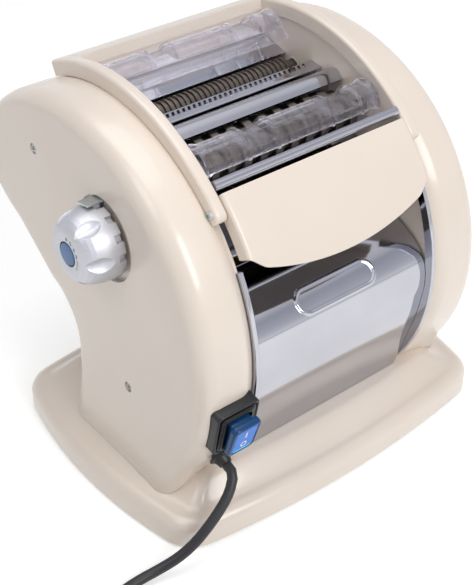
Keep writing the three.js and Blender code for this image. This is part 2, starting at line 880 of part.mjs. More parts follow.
function arcBand(inner, outer, from, to, x0, x1, steps) {
  const there = arc(arcY, arcZ, outer, from, to, steps);
  const back = arc(arcY, arcZ, inner, to, from, steps);
  return alongX([...there, ...back], x0, x1);
}

const railSteps = 7;

// The rail's outer wall ends just above the cheek, which swells towards the front
function railWall() {
  const steps = railSteps;
  const x = railOut - railSheet;
  const footSteps = 2 * steps;
  const foot = Array.from({ length: footSteps + 1 }, (_, i) => {
    const turn = railFrontAngle + (railRearAngle - railFrontAngle) * i / footSteps;
    const swell = crownAt(Math.cos(turn * degree)) * crownShareAt(railOut);
    return polar(arcY, arcZ, cheekArc + swell + fit, turn);
  });
  return alongX([...arc(arcY, arcZ, railArcOut, railRearAngle, railFrontAngle, steps), ...foot], x, railOut);
}

function topFrame() {
  const roof = railArcOut - railSheet;
  const steps = railSteps;
  const lap = overrun / railArcOut / degree;
  const rail = together(
    arcBand(roof, railArcOut, railRearAngle, railFrontAngle, railIn, railOut, steps), railWall(),
    arcBand(railArcIn, railArcOut, railRearAngle, railFrontAngle, railIn, railIn + railSheet, steps));
  const sheetAngle = railSheet / railArcOut / degree;
  const side = railOut - railSheet / 2;
  const rearFoot = railArcIn + cheekCrownTop + fit;
  const notchEnd = railIn + (railOut - railIn) / 3;
  const cross = arcBand(roof, railArcOut, railRearAngle, crossRailAngle, -railOut, railOut, 2);
  const lip = arcBand(trimArcOut, railArcOut, crossRailAngle - sheetAngle, crossRailAngle, -side, side, 1);
  const wall = arcBand(railArcOut - crossWallDeep, railArcOut - railSheet / 2, crossWallAngle - sheetAngle,
    crossWallAngle, -railIn - railSheet / 2, railIn + railSheet / 2, 1);
  const front = lip.add(wall);
  const rear = arcBand(rearFoot, railArcOut, railRearAngle, railRearAngle + sheetAngle, -side, side, 1);
  const notch = arcBand(roof - fit, railArcOut + overrun, railFrontAngle - lap, railFrontAngle + lap,
    railIn - overrun, notchEnd, 1);
  const frame = bothSides(rail.subtract(notch)).add(together(cross, front, rear));
  return frame.subtract(bothSides(railScrewHole()));
}

const railScrew = polar(arcY, arcZ, railScrewArc, railScrewAngle);

function railScrewHole() {
  const near = railOut - railSheet - overrun;
  return rod(railScrew.x, railScrew.y, smallScrewRadius + fit, near, railOut + overrun, 8);
}

function frameScrew() {
  const foot = railOut - railSheet - smallScrewHeadRadius / 2;
  const tip = railOut + screwHeadHigh;
  return turned([[foot, 0], [foot, smallScrewRadius], [railOut, smallScrewRadius],
    [railOut, smallScrewHeadRadius], [tip, smallScrewRadius * 2], [tip, 0]],
  railScrew.x, railScrew.y, 10);
}

function cheekScrew({ y, z }) {
  const floor = cheekOuter(z) - screwSink;
  const tip = floor + screwHeadHigh;
  return turned([[plateIn + fit, 0], [plateIn + fit, screwRadius], [floor, screwRadius],
    [floor, screwHeadRadius], [tip, screwHeadRadius], [tip, 0]], y, z, 10);
}

// Visor: a curved shield whose lower edge rises to both sides

function visor() {
  const rows = 4;
  const inner = visorArc - visorSheet;
  const edgeAngle = (x) => {
    const share = (x / visorHalfWide) ** 2;
    const cornerShare = smooth((Math.abs(x) - visorHalfWide + visorCorner) / visorCorner);
    const z = visorEndZ - visorSmile * (1 - share) + visorCorner * cornerShare / 3;
    return 180 - Math.asin((z - arcZ) / visorArc) / degree;
  };
  const shield = (from, to, near, far, across) => {
    const rings = Array.from({ length: across + 1 }, (_, i) => {
      const x = from + (to - from) * i / across;
      const end = edgeAngle(x);
      const there = arc(arcY, arcZ, far, visorTopAngle, end, rows);
      const back = arc(arcY, arcZ, near, end, visorTopAngle, rows);
      return [...there, ...back].map((p) => new THREE.Vector3(x, p.x, p.y));
    });
    return loft(rings, [1, 2], [1, 2]);
  };
  const side = visorHalfWide - visorSheet;
  return together(shield(-visorHalfWide, visorHalfWide, inner, visorArc, 10),
    shield(side, visorHalfWide, inner - visorSideDeep, inner + visorSheet / 2, 1),
    shield(-visorHalfWide, -side, inner - visorSideDeep, inner + visorSheet / 2, 1));
}

// Front plate: a bright sheet that bulges like a nose, with a bare raised frame on it

const noseShares = [[0, 0], [0.2, 0.11], [0.55, 0.3], [0.8, 0.45], [0.94, 0.584], [1, 0.66], [0.99, 0.728],
  [0.92, 0.785], [0.8, 0.836], [0.43, 0.9], [-0.05, 0.947], [-0.52, 0.98], [-1, 1]];

function nosePoints() {
  const footZ = baseTop + fit;
  return noseShares.map(([ahead, up]) => (
    new THREE.Vector2(frontFootY - frontDeep * ahead, footZ + frontHigh * up)));
}

function frontPlate() {
  const line = nosePoints();
  const plate = alongX(ribbon(line, -frontSheet), -frontHalfWide, frontHalfWide);
  const core = ribbon(line, -frontSheet / 2).slice(line.length).reverse();
  const proud = alongX(ribbon(core, frontSheet / 2 + frameProud), -frontHalfWide, frontHalfWide);
  const bare = rounded(frameWide - 2 * frameRim, frameHigh - 2 * frameRim, frameHigh / 2 - frameRim, 3);
  const rim = extruded(rounded(frameWide, frameHigh, frameHigh / 2, 3), 2 * frameHigh, [bare]);
  const out = polar(0, 0, 1, frameTurn);
  const matrix = new THREE.Matrix4().makeBasis(
    new THREE.Vector3(1, 0, 0), new THREE.Vector3(0, out.y, -out.x), new THREE.Vector3(0, out.x, out.y));
  matrix.setPosition(0, frameY, frameZ);
  const rimBody = solid(rim.translate(0, 0, -frameHigh).applyMatrix4(matrix));
  return plate.add(proud.intersect(rimBody));
}

// Sheet-metal guides

function frontDeck() {
  const deck = ribbon(points([deckBeadY, deckBeadZ], [deckKneeY, deckKneeZ], [deckBackY, deckBackZ]), sheet);
  return alongX(deck, -deckHalfWide, deckHalfWide)
    .add(rod(deckBeadY, deckBeadZ, deckBead, -deckHalfWide, deckHalfWide, 12));
}

function centreHood() {
  const line = points([hoodBackY, hoodFootZ], [hoodBackY, hoodTopZ],
    [(hoodBackY + hoodCrestY) / 2, hoodCrestZ - sheet / 2], [hoodCrestY, hoodCrestZ],
    [(hoodCrestY + hoodFrontY) / 2, (hoodCrestZ + hoodFrontZ + sheet) / 2], [hoodFrontY, hoodFrontZ]);
  return alongX(ribbon(line, sheet), -guideHalfWide, guideHalfWide);
}

function scraperComb() {
  const line = points([combBackY, combBackZ], [combKneeY, combTopZ],
    [combFrontY, combTopZ], [combFrontY, combFootZ]);
  const comb = alongX(ribbon(line, sheet), -guideHalfWide, guideHalfWide);
  const pitch = 2 * fineCutterHalfLong / combSlots;
  const slots = Array.from({ length: combSlots }, (_, i) => {
    const x = -fineCutterHalfLong + pitch * (i + 0.5);
    const slant = (combBackY - combKneeY) / 2;
    const half = combSlotWide / 2;
    const far = combBackY - sheet;
    const plan = points([x - half, combKneeY], [x + half, combKneeY],
      [x + half + slant, far], [x - half + slant, far]);
    return alongZ(plan, combTopZ - 2 * overrun, combBackZ + 2 * overrun);
  });
  return comb.subtract(together(...slots));
}

function rearGuide() {
  const line = points([rearGuideFrontY, rearGuideFrontZ], [rearGuideMidY, rearGuideMidZ],
    [rearGuideBackY, rearGuideBackZ]);
  return alongX(ribbon(line, sheet), -guideHalfWide, guideHalfWide);
}

function frontGuide() {
  const line = points([frontGuideFrontY, frontGuideFrontZ], [frontGuideBackY, frontGuideBackZ]);
  return alongX(ribbon(line, -sheet), -guideHalfWide, guideHalfWide);
}

function pastaTray() {
  const bend = arc(trayBackY - trayBend, trayLowZ + trayBend, trayBend, 0, -90, 6);
  const back = points([trayBackY, trayBackZ]);
  const front = points([trayMidY, trayMidZ], [trayFrontY, trayFrontZ]);
  return alongX(ribbon([...back, ...bend, ...front], sheet), -guideHalfWide, guideHalfWide);
}

function rearCover() {
  const radius = cheekArc - coverInset;
  const start = arc(arcY, arcZ, radius, railRearAngle - coverLapAngle, headAngle, 3);
  const head = arc(headY, headZ, headRadius - coverInset, headAngle, joinTurn - 180, 12).slice(1);
  const neck = arc(neckArcY, neckArcZ, neckRadius + coverInset, joinTurn, 180, 6).slice(1);
  const line = [...start, ...head, ...neck, new THREE.Vector2(neckY - coverInset, baseTop)];
  return alongX(ribbon(line, -sheet), -guideHalfWide, guideHalfWide);
}

function tieRod(at) {
  return rod(at.x, at.y, tieRodRadius, -plateIn + fit, plateIn - fit, 8)
    .add(rod(at.x, at.y, tieNeckRadius, -plateOut - tieReach, plateOut + tieReach, 8));
}

function plateBracket() {
  const near = motorY - mountHalfDeep;
  const far = motorY + mountHalfDeep;
  return box(plateIn - bracketThick, plateIn, near, far, baseTop, baseTop + bracketHigh)
    .add(box(plateIn - bracketFoot, plateIn, near, far, baseTop, baseTop + bracketThick));
}

// Motor, gearbox and what carries them

function motor() {
  const end = motorLeft - motorChamfer;
  return turned([[end, 0], [end, motorBoss], [motorLeft, motorBoss], [motorLeft, motorRadius - motorChamfer],
    [motorLeft + motorChamfer, motorRadius], [motorRight, motorRadius], [motorRight, 0]], motorY, motorZ, 16);
}

function motorMount() {
  const top = baseTop + mountRise;
  const near = motorY - mountHalfDeep;
  const far = motorY + mountHalfDeep;
  const wall = (x) => box(x, x + mountThick, near, far, baseTop, top);
  const floor = box(motorLeft, motorRight - fit, near, far, baseTop, baseTop + mountFloor);
  const walls = wall(motorLeft + motorBoss).add(wall(motorRight - motorBoss - mountThick));
  const bed = rod(motorY, motorZ, motorRadius + fit, motorLeft - overrun, motorRight + overrun, 16);
  return floor.add(walls).subtract(bed);
}

function gearbox() {
  const big = new THREE.Vector2(motorY, motorZ);
  const small = axes.pinion;
  const lean = Math.acos((gearboxRadius - gearboxNose) / big.distanceTo(small)) / degree;
  const toward = Math.atan2(small.y - big.y, small.x - big.x) / degree;
  const outline = [...arc(big.x, big.y, gearboxRadius, toward + lean, toward + 360 - lean, 18),
    ...arc(small.x, small.y, gearboxNose, toward - lean, toward + lean, 8)];
  const near = motorRight + fit;
  const far = plateIn - fit;
  const bore = rod(small.x, small.y, shaftRadius + running, far - gearboxBore, far + overrun, 8);
  return alongX(outline, near, far).subtract(bore);
}

// Gears. Angles run from +Y towards +Z, as a turn about +X does.

function gearOutline(at, teeth, phase, size) {
  const pitch = size * teeth / 2;
  const tip = pitch + size * addendumShare;
  const root = pitch - size * dedendumShare;
  const half = (Math.PI * size / 2 - backlash) / 2;
  const rootHalf = (half + size * dedendumShare * toothSlopeShare) / root / degree;
  const tipHalf = (half - size * addendumShare * toothSlopeShare) / tip / degree;
  return Array.from({ length: teeth }, (_, i) => {
    const turn = phase + i * 360 / teeth;
    return [polar(at.x, at.y, root, turn - rootHalf), polar(at.x, at.y, tip, turn - tipHalf),
      polar(at.x, at.y, tip, turn + tipHalf), polar(at.x, at.y, root, turn + rootHalf)];
  }).flat();
}

// The phase that sets a gear's gap against the tooth of the gear that it meshes with
function meshPhase(from, fromTeeth, fromPhase, to, toTeeth) {
  const turn = Math.atan2(to.y - from.y, to.x - from.x) / degree;
  const step = (turn - fromPhase) * fromTeeth / 360;
  const share = step - Math.floor(step);
  return turn + 180 - (0.5 - share) * 360 / toTeeth;
}

function gear(at, teeth, phase, x0, x1, size = gearModule) {
  return alongX(gearOutline(at, teeth, phase, size), x0, x1);
}

function shaftBore(at) {
  return rod(at.x, at.y, shaftRadius + fit, gearIn - overrun, mainOut + overrun, 10);
}

function rollerBGear() {
  return gear(axes.rollerB, rollerTeeth, phases.rollerB, gearIn, gearOut).subtract(shaftBore(axes.rollerB));
}

// The rear roller's own gear and the large driven gear are one piece
function mainGear() {
  const at = axes.rollerA;
  return together(gear(at, rollerTeeth, phases.rollerA, gearIn, gearOut),
    rod(at.x, at.y, shaftRadius + bushWall * 2, gearOut - fit, mainIn + fit, 10),
    gear(at, mainTeeth, phases.main, mainIn, mainOut, mainModule)).subtract(shaftBore(at));
}

const phases = { rollerA: 0, main: 0 };
phases.rollerB = meshPhase(axes.rollerA, rollerTeeth, phases.rollerA, axes.rollerB, rollerTeeth);
phases.largeIdler = meshPhase(axes.rollerA, rollerTeeth, phases.rollerA, axes.largeIdler, largeIdlerTeeth);
phases.fineRear = meshPhase(axes.largeIdler, largeIdlerTeeth, phases.largeIdler, axes.fineRear, cutterTeeth);
phases.fineFront = meshPhase(axes.fineRear, cutterTeeth, phases.fineRear, axes.fineFront, cutterTeeth);
phases.smallIdler = meshPhase(axes.fineFront, cutterTeeth, phases.fineFront, axes.smallIdler, smallIdlerTeeth);
phases.wideRear = meshPhase(axes.smallIdler, smallIdlerTeeth, phases.smallIdler, axes.wideRear, cutterTeeth);
phases.wideFront = meshPhase(axes.wideRear, cutterTeeth, phases.wideRear, axes.wideFront, cutterTeeth);
phases.pinion = meshPhase(axes.rollerA, mainTeeth, phases.main, axes.pinion, pinionTeeth);

const shaftLeft = -plateOut - carrierThick - shaftEnd;
const shaftRight = gearOut + shaftEnd;

function rollerA() {
  return rod(axes.rollerA.x, axes.rollerA.y, rollerRadius, -rollerHalfLong, rollerHalfLong, 18)
    .add(rod(axes.rollerA.x, axes.rollerA.y, shaftRadius, shaftLeft, mainOut + shaftEnd, 12));
}

function rollerB() {
  return rod(axes.rollerB.x, axes.rollerB.y, rollerRadius, -rollerHalfLong, rollerHalfLong, 18)
    .add(rod(axes.rollerB.x, axes.rollerB.y, shaftRadius, -plateOut - flangeThick - shaftEnd, shaftRight, 12));
}

function driven(drum, at, phase) {
  const shaft = rod(at.x, at.y, shaftRadius, shaftLeft, shaftRight, 12);
  return together(drum, shaft, gear(at, cutterTeeth, phase, gearIn, gearOut));
}

function fineCutter(at, phase) {
  return driven(rod(at.x, at.y, fineCutterRadius, -fineCutterHalfLong, fineCutterHalfLong, 12), at, phase);
}

// A wide cutter is one turned piece: discs with grooves between them for the other's discs
function wideCutter(at, phase, shift) {
  const discs = Math.floor(2 * wideCutterHalfLong / wideCutterPitch);
  const half = wideCutterPitch / 4 - fit / 2;
  const foot = half + fit / 2;
  const profile = [[-wideCutterHalfLong, 0], [-wideCutterHalfLong, wideCutterRoot]];
  for (let i = 0; i < discs; i += 1) {
    const x = wideCutterPitch * (i - (discs - 1) / 2) + shift;
    profile.push([x - foot, wideCutterRoot], [x - half, wideCutterRadius]);
    profile.push([x + half, wideCutterRadius], [x + foot, wideCutterRoot]);
  }
  profile.push([wideCutterHalfLong, wideCutterRoot], [wideCutterHalfLong, 0]);
  return driven(turned(profile, at.x, at.y, 7), at, phase);
}

function idler(at, teeth, phase) {
  const shaft = rod(at.x, at.y, shaftRadius, plateIn + fit, shaftRight, 12);
  return gear(at, teeth, phase, gearIn, gearOut).add(shaft);
}

function drivePinion() {
  const at = axes.pinion;
  return gear(at, pinionTeeth, phases.pinion, mainIn, mainOut, mainModule)
    .add(rod(at.x, at.y, shaftRadius, plateIn - gearboxBore + fit, mainOut + shaftEnd, 12));
}

// The front roller's yoke: its left end carries the pin that rides on the cam
const camIn = plateOut + flangeThick + camGap;
const camOut = camIn + camThick;
const followerY = rollerBY - camRadius - followerRadius - fit;

// A bar across the machine joins both bearing blocks, so that they move as one
function rollerYoke() {
  const z0 = rollerZ - blockHalf;
  const z1 = rollerZ + blockHalf;
  const outer = plateOut + fit + flangeThick;
  const block = box(rollerHalfLong + fit, outer, yokeFront, rollerBY + blockHalf, z0, z1);
  const flange = box(plateOut + fit, outer, rollerBY - flangeHalf, rollerBY + flangeHalf,
    rollerZ - flangeHalf, rollerZ + flangeHalf);
  const bar = box(-plateOut, plateOut, yokeFront, yokeBack, z0, z1);
  const pin = rod(followerY, rollerZ, followerRadius, -camOut, -outer + fit, 12);
  const bore = rod(rollerBY, rollerZ, shaftRadius + running, -camOut, camOut, 8);
  return together(bothSides(block.add(flange)), bar, pin).subtract(bore);
}

// Knob side: the cam turns with the knob, and the knob slides on the hub

const knobBack = knobPlane + knobStandOff + knobRecessDeep;
const hubEnd = knobBack + knobHubLong;

function knobHub() {
  const sides = 24;
  const cam = Array.from({ length: sides }, (_, i) => {
    const turn = 360 * i / sides;
    const climb = turn <= camTurn ? turn / camTurn : (360 - turn) / (360 - camTurn);
    return polar(rollerBY, rollerZ, camRadius + gapTravel * climb, 180 - turn);
  });
  return alongX(cam, -camIn, -camOut).add(rod(rollerBY, rollerZ, knobHubRadius, -camIn, -hubEnd, 20));
}

const knobShares = [[0, 1], [0.4, 1], [0.7, 0.95], [0.92, 0.78], [1, 0.62]];

function knob() {
  const sides = 24;
  const end = knobBack + knobDeep;
  const cap = end - knobButtonDeep;
  const hubHole = knobHubRadius + fit;
  const outside = knobShares.map(([deep, wide]) => [-knobBack - knobDeep * deep, knobRadius * wide]);
  const inside = [[-end, knobButtonRadius + fit], [-cap, knobButtonRadius + fit], [-cap, 0],
    [-hubEnd - fit, 0], [-hubEnd - fit, hubHole], [-knobBack, hubHole]];
  const body = turned([[-knobBack, hubHole], ...outside, ...inside], rollerBY, rollerZ, sides);
  const notches = Array.from({ length: knobNotches }, (_, i) => {
    const turn = 360 * (i + 0.5) / knobNotches;
    const half = knobNotchWide / 2;
    const rim = box(-knobBack - knobNotchDeep, -knobBack + overrun,
      knobRadius - knobNotchIn, knobRadius + overrun, -half, half);
    return turnedAbout(rim, turn);
  });
  const scoops = Array.from({ length: knobScoops }, (_, i) => {
    const cut = rod(0, 0, knobScoopRadius, 0, -knobDeep, 10);
    const lean = new THREE.Matrix4().makeRotationZ(-knobScoopLean * degree);
    lean.setPosition(-knobBack - knobSkirt - overrun, knobRadius + knobScoopRadius / 2 + overrun, 0);
    return turnedAbout(placed(cut, lean), 360 * i / knobScoops);
  });
  return body.subtract(together(...notches)).subtract(together(...scoops));
}

// Turns a piece drawn about the X axis through zero, then sets it on the knob's axis
function turnedAbout(body, turn) {
  const matrix = new THREE.Matrix4().makeRotationX(turn * degree);
  return placed(body, matrix.setPosition(0, rollerBY, rollerZ));
}

function knobButton() {
  const end = knobBack + knobDeep;
  const foot = end - knobButtonDeep + fit;
  return turned([[-foot, 0], [-foot, knobButtonRadius], [-end, knobButtonRadius],
    [-end - fit, knobButtonRadius - fit * 4], [-end - fit, 0]], rollerBY, rollerZ, 14);
}

// A zinc strap that stands on the recess floor and reaches out over the knob's rim
function indexClip() {
  const inner = knobRadius + sheet;
  const outer = inner + clipThick;
  const foot = box(-knobPlane - clipThick, -knobPlane, inner - clipHalfWide, outer,
    -clipHalfWide, clipHalfWide);
  const strap = box(-knobPlane - clipThick - clipReach, -knobPlane - clipThick / 2, inner, outer,
    -clipHalfWide, clipHalfWide);
  return turnedAbout(foot.add(strap), clipTurn);
}

// Clear guards: a tube cut open lengthways, flange rings, and square cups in its top

const guardSteps = 6;

function guardShell(y, z, from, to, x0, x1, outer, inner) {
  const steps = guardSteps;
  return alongX([...arc(y, z, outer, from, to, steps), ...arc(y, z, inner, to, from, steps)], x0, x1);
}

function guard(y, z, from, to, cups) {
  const inner = guardRadius - guardWall;
  const rim = guardRadius + guardRing;
  const tube = guardShell(y, z, from, to, -guardHalfLong, guardHalfLong, guardRadius, inner);
  const ringAt = (x) => guardShell(y, z, from, to, x, x + guardRingWide, rim, inner);
  const ends = [-guardHalfLong, guardHalfLong - guardRingWide].map(ringAt);
  const cupRings = cups.map(([x0, x1]) => ringAt(x0).add(ringAt(x1 - guardRingWide)));
  const discs = bothSides(together(
    alongX(arc(y, z, inner + guardWall / 2, from, to, guardSteps), guardHalfLong - guardDisc, guardHalfLong),
    rod(y, z, guardPinRadius * 2, guardHalfLong - guardDisc, guardHalfLong + guardDisc, 8),
    rod(y, z, guardPinRadius, guardHalfLong, plateOut - fit, 8)));
  const cupFloor = z + inner / 2;
  const windows = cups.map(([x0, x1]) => box(x0 + guardRingWide, x1 - guardRingWide,
    y - rim - overrun, y + rim + overrun, cupFloor, z + rim + overrun));
  const floors = cups.map(([x0, x1]) => box(x0 + guardRingWide / 2, x1 - guardRingWide / 2,
    y - inner, y + inner * cupDeepShare, cupFloor - guardWall, cupFloor));
  const open = together(tube, ...ends, ...cupRings).subtract(together(...windows));
  return open.add(together(discs, ...floors));
}

function frontGuard() {
  return guard(frontGuardY, frontGuardZ, frontGuardFrom, frontGuardTo,
    [[frontCupNear, frontCupNearEnd], [frontCupFar, frontCupFarEnd]]);
}

function rearGuard() {
  const tube = guard(rearGuardY, rearGuardZ, rearGuardFrom, rearGuardTo,
    [[rearCupNear, rearCupNearEnd], [rearCupFar, rearCupFarEnd]]);
  const edge = polar(rearGuardY, rearGuardZ, guardRadius - guardWall / 2, rearGuardTo - rearSkirtLapAngle);
  const skirt = ribbon([edge, new THREE.Vector2(rearSkirtY, rearSkirtZ)], guardWall / 2);
  return tube.add(alongX(skirt, -guardHalfLong, guardHalfLong));
}

// Switch

function switchBezel() {
  const rim = extruded(rounded(switchWide, switchHigh, switchCorner), switchProud + switchSink);
  const wide = switchWide - switchFrame;
  const high = switchHigh - switchFrame;
  const body = extruded(rounded(wide, high, switchCorner - fit), switchBodyDeep - switchSink + overrun);
  const inside = extruded(rounded(wide - switchFrame, high - switchFrame, switchCorner - 2 * fit),
    switchBodyDeep + switchProud);
  const block = solid(rim.translate(0, 0, -switchSink)).add(solid(body.translate(0, 0, -switchBodyDeep)));
  const well = solid(inside.translate(0, 0, overrun - switchBodyDeep));
  const sockets = rod(0, -rockerPivot, rockerPinRadius + fit, -rockerPinEnd - fit, rockerPinEnd + fit, 8);
  return placed(block.subtract(well).subtract(sockets), onCheekFront(switchX, switchAngle));
}

// The rocker's pins end just short of the floor of their sockets in the bezel's walls
const rockerPinEnd = switchWide / 2 - switchFrame + rockerPinSink - fit;

function rocker() {
  const cap = extruded(rounded(rockerWide, rockerHigh, switchCorner), rockerFront - rockerBack);
  const stem = extruded(rounded(rockerStemWide, rockerStemHigh, switchCorner / 2),
    rockerStemBack + rockerBack + fit);
  const pins = rod(0, -rockerPivot, rockerPinRadius, -rockerPinEnd, rockerPinEnd, 8);
  const upright = together(solid(cap.translate(0, 0, rockerBack)),
    solid(stem.translate(0, 0, -rockerStemBack)), pins);
  const tilt = new THREE.Matrix4().makeTranslation(0, 0, -rockerPivot)
    .multiply(new THREE.Matrix4().makeRotationX(rockerTilt * degree))
    .multiply(new THREE.Matrix4().makeTranslation(0, 0, rockerPivot));
  return placed(placed(upright, tilt), onCheekFront(switchX, switchAngle));
}

function cordGland() {
  return placed(spun([[-glandInside, 0], [-glandInside, glandNeckRadius], [fit * 2, glandNeckRadius],
    [fit * 2, glandFlangeRadius], [glandFlange, glandFlangeRadius], [glandFlange, glandSleeveRadius],
    [glandOutside, glandTipRadius], [glandOutside, 0]], 12), onCheekFront(glandX, glandAngle));
}

// Cord: a free stretch, then loops laid in two layers, then a moulded plug

const coilLayer = 2 * cordRadius + coilGap;
const coilLowZ = tieThick + fit + cordRadius;
const coilHighZ = coilLowZ + coilLayer;
const straight = 2 * cordRadius;
const leadStart = new THREE.Vector3(0, 0, glandOutside + fit).applyMatrix4(onCheekFront(glandX, glandAngle));

// Places that the free stretch passes on its way over the plinth's corner and down to the floor
const cordRoute = [[-101.5, -105, 49.5], [-108, -108.5, 43], [-117, -110.5, 36], [-128, -111.5, 28],
  [-139, -111, 20], [-150, -108.5, 13], [-162, -105, 8], [-176, -102.5, 5.4], [-190, -103, 4.9]];

function leadCurve(end) {
  const first = leadStart.clone();
  const next = new THREE.Vector3(0, 0, glandOutside + fit + straight);
  next.applyMatrix4(onCheekFront(glandX, glandAngle));
  const before = end.clone().add(new THREE.Vector3(straight, 0, 0));
  const route = cordRoute.map(([x, y, z]) => new THREE.Vector3(x, y, z));
  return new THREE.CatmullRomCurve3([first, next, ...route, before, end], false, 'centripetal');
}

// Loops spiral in on the floor, climb in the half turn where they reverse, and spiral out on top
const loopSteps = 20;

function coilPoints(inner) {
  const middle = coilTurns / 2;
  const steps = Math.round(coilTurns * loopSteps);
  const loops = Array.from({ length: steps + 1 }, (_, i) => {
    const turns = coilTurns * i / steps;
    const radius = inner + coilLayer * Math.abs(turns - middle);
    const climb = smooth((turns - middle) / coilClimbTurns + 0.5);
    const at = polar(coilX, coilY, radius, coilStart + turns * 360);
    return new THREE.Vector3(at.x, at.y, coilLowZ + coilLayer * climb);
  });
  const first = loops[0].clone().add(new THREE.Vector3(straight, 0, 0));
  const last = loops[loops.length - 1].clone().add(new THREE.Vector3(0, -coilTail, 0));
  return [first, ...loops, last];
}

function lengthOf(line) {
  return line.slice(1).reduce((sum, p, i) => sum + p.distanceTo(line[i]), 0);
}

// The inner radius at which gland, stretch, loops and plug together use up the cord's length
function coilInner() {
  let low = 2 * straight;
  let high = 2 * low * coilTurns;
  for (let i = 0; i < 40; i += 1) {
    const middle = (low + high) / 2;
    const loops = coilPoints(middle);
    const whole = lengthOf(loops) + leadCurve(loops[0].clone()).getLength();
    if (whole < cordLength) low = middle;
    else high = middle;
  }
  return (low + high) / 2;
}

const loopPoints = coilPoints(coilInner());
const leadEnd = loopPoints[0].clone().add(new THREE.Vector3(fit, 0, 0));

function cordLead() {
  const curve = leadCurve(leadEnd);
  const steps = Math.round(curve.getLength() / cordStep);
  const section = new THREE.Shape(circle(0, 0, cordRadius, 8));
  return solid(new THREE.ExtrudeGeometry(section, { extrudePath: curve, steps, bevelEnabled: false }));
}

function cordCoil() {
  const rings = loopPoints.map((p, i) => {
    const before = loopPoints[Math.max(i - 1, 0)];
    const after = loopPoints[Math.min(i + 1, loopPoints.length - 1)];
    const run = after.clone().sub(before);
    const aside = new THREE.Vector3(-run.y, run.x, 0).normalize();
    const over = new THREE.Vector3().crossVectors(run, aside).normalize();
    const section = circle(0, 0, cordRadius, 6);
    return section.map((q) => p.clone().addScaledVector(aside, q.x).addScaledVector(over, q.y));
  });
  return loft(rings, [1, 2], [0, 2]);
}

// The least gap between any two stretches of the coil that aren't neighbours along it
function leastCoilGap() {
  let least = Infinity;
  loopPoints.forEach((p, i) => {
    loopPoints.slice(i + loopSteps / 2).forEach((q) => {
      least = Math.min(least, p.distanceTo(q) - 2 * cordRadius);
    });
  });
  return least;
}

console.log(`least gap of the coil to itself: ${leastCoilGap().toFixed(2)} mm`);

function cordTie() {
  const inner = coilInner() - cordRadius - fit;
  const outer = inner + coilLayer * coilTurns / 2 + 2 * cordRadius + 2 * fit;
  const top = coilHighZ + cordRadius + fit;
  const outline = rectangle(inner - tieThick, 0, outer + tieThick, top + tieThick);
  const band = extruded(outline, tieLong, [rectangle(inner, tieThick, outer, top)]);
  const loop = solid(band.translate(0, 0, -tieLong / 2).rotateX(Math.PI / 2));
  return placed(loop, new THREE.Matrix4().makeRotationZ(tieTurn * degree).setPosition(coilX, coilY, 0));
}

// The plug's body, as shares of its length, half width and half height
const plugShares = [[0.12, 0.6, 0.8], [0.5, 1, 1], [1, 0.9, 0.9]];

// A flat moulded two-pin plug lying on its side, drawn from its cord end along -Y
function plug() {
  const end = loopPoints[loopPoints.length - 1];
  const z = end.z;
  const halfHigh = z - fit;
  const body = plugShares.map(([along, wide, high]) => (
    [plugNeck + plugLong * along, plugWide / 2 * wide, halfHigh * high]));
  const stations = [[0, plugTail, plugTail], [plugNeck, plugTail, plugTail], ...body];
  const rings = stations.map(([along, wide, high]) => {
    const outline = rounded(2 * wide, 2 * high, Math.min(wide, high) * plugRoundShare, 3);
    return outline.map((p) => new THREE.Vector3(end.x + p.x, end.y - fit - along, z + p.y));
  });
  const face = end.y - fit - plugNeck - plugLong;
  const pins = [-1, 1].map((side) => {
    const pin = spun([[-overrun, 0], [-overrun, plugPinRadius],
      [plugPinLong, plugPinRadius], [plugPinLong, 0]], 10);
    const turn = new THREE.Matrix4().makeRotationX(Math.PI / 2);
    return placed(pin, turn.setPosition(end.x + side * plugPinPitch / 2, face, z));
  });
  return together(loft(rings, [0, 2], [0, 2]), ...pins);
}

// Looks

const cream = { color: 0xeadfcf, roughness: 0.35, metalness: 0 };
const chrome = { color: 0xc8ccd2, roughness: 0.12, metalness: 1 };
const steel = { color: 0xa9acb0, roughness: 0.35, metalness: 1 };
const zinc = { color: 0x9aa0a3, roughness: 0.5, metalness: 0.9 };
const silver = { color: 0xc4c6ca, roughness: 0.4, metalness: 0.6 };
const clear = { color: 0xe6e4f2, roughness: 0.08, metalness: 0, transparent: true, opacity: 0.35 };
const black = { color: 0x1c1c1e, roughness: 0.5, metalness: 0 };
const rubber = { color: 0x161616, roughness: 0.8, metalness: 0 };
const blue = { color: 0x1f6fb5, roughness: 0.35, metalness: 0 };
const brass = { color: 0xb99a5b, roughness: 0.4, metalness: 1 };
const nylon = { color: 0xe8e6df, roughness: 0.6, metalness: 0 };
const grey = { color: 0x6f7276, roughness: 0.6, metalness: 0.2 };

const part = new THREE.Group();
const cordNames = ['cord_lead', 'cord_coil', 'cord_tie', 'plug'];

function add(name, body, look) {
  const clean = body.asOriginal().simplify(leastEdge);
  const mesh = new THREE.Mesh(geometryOf(clean), new THREE.MeshStandardMaterial(look));
  mesh.name = name;
  part.add(mesh);
}

const everyBush = [axes.rollerA, ...cutterAxes, ...rightOnlyAxes];
const leftBushes = [axes.rollerA, ...cutterAxes];

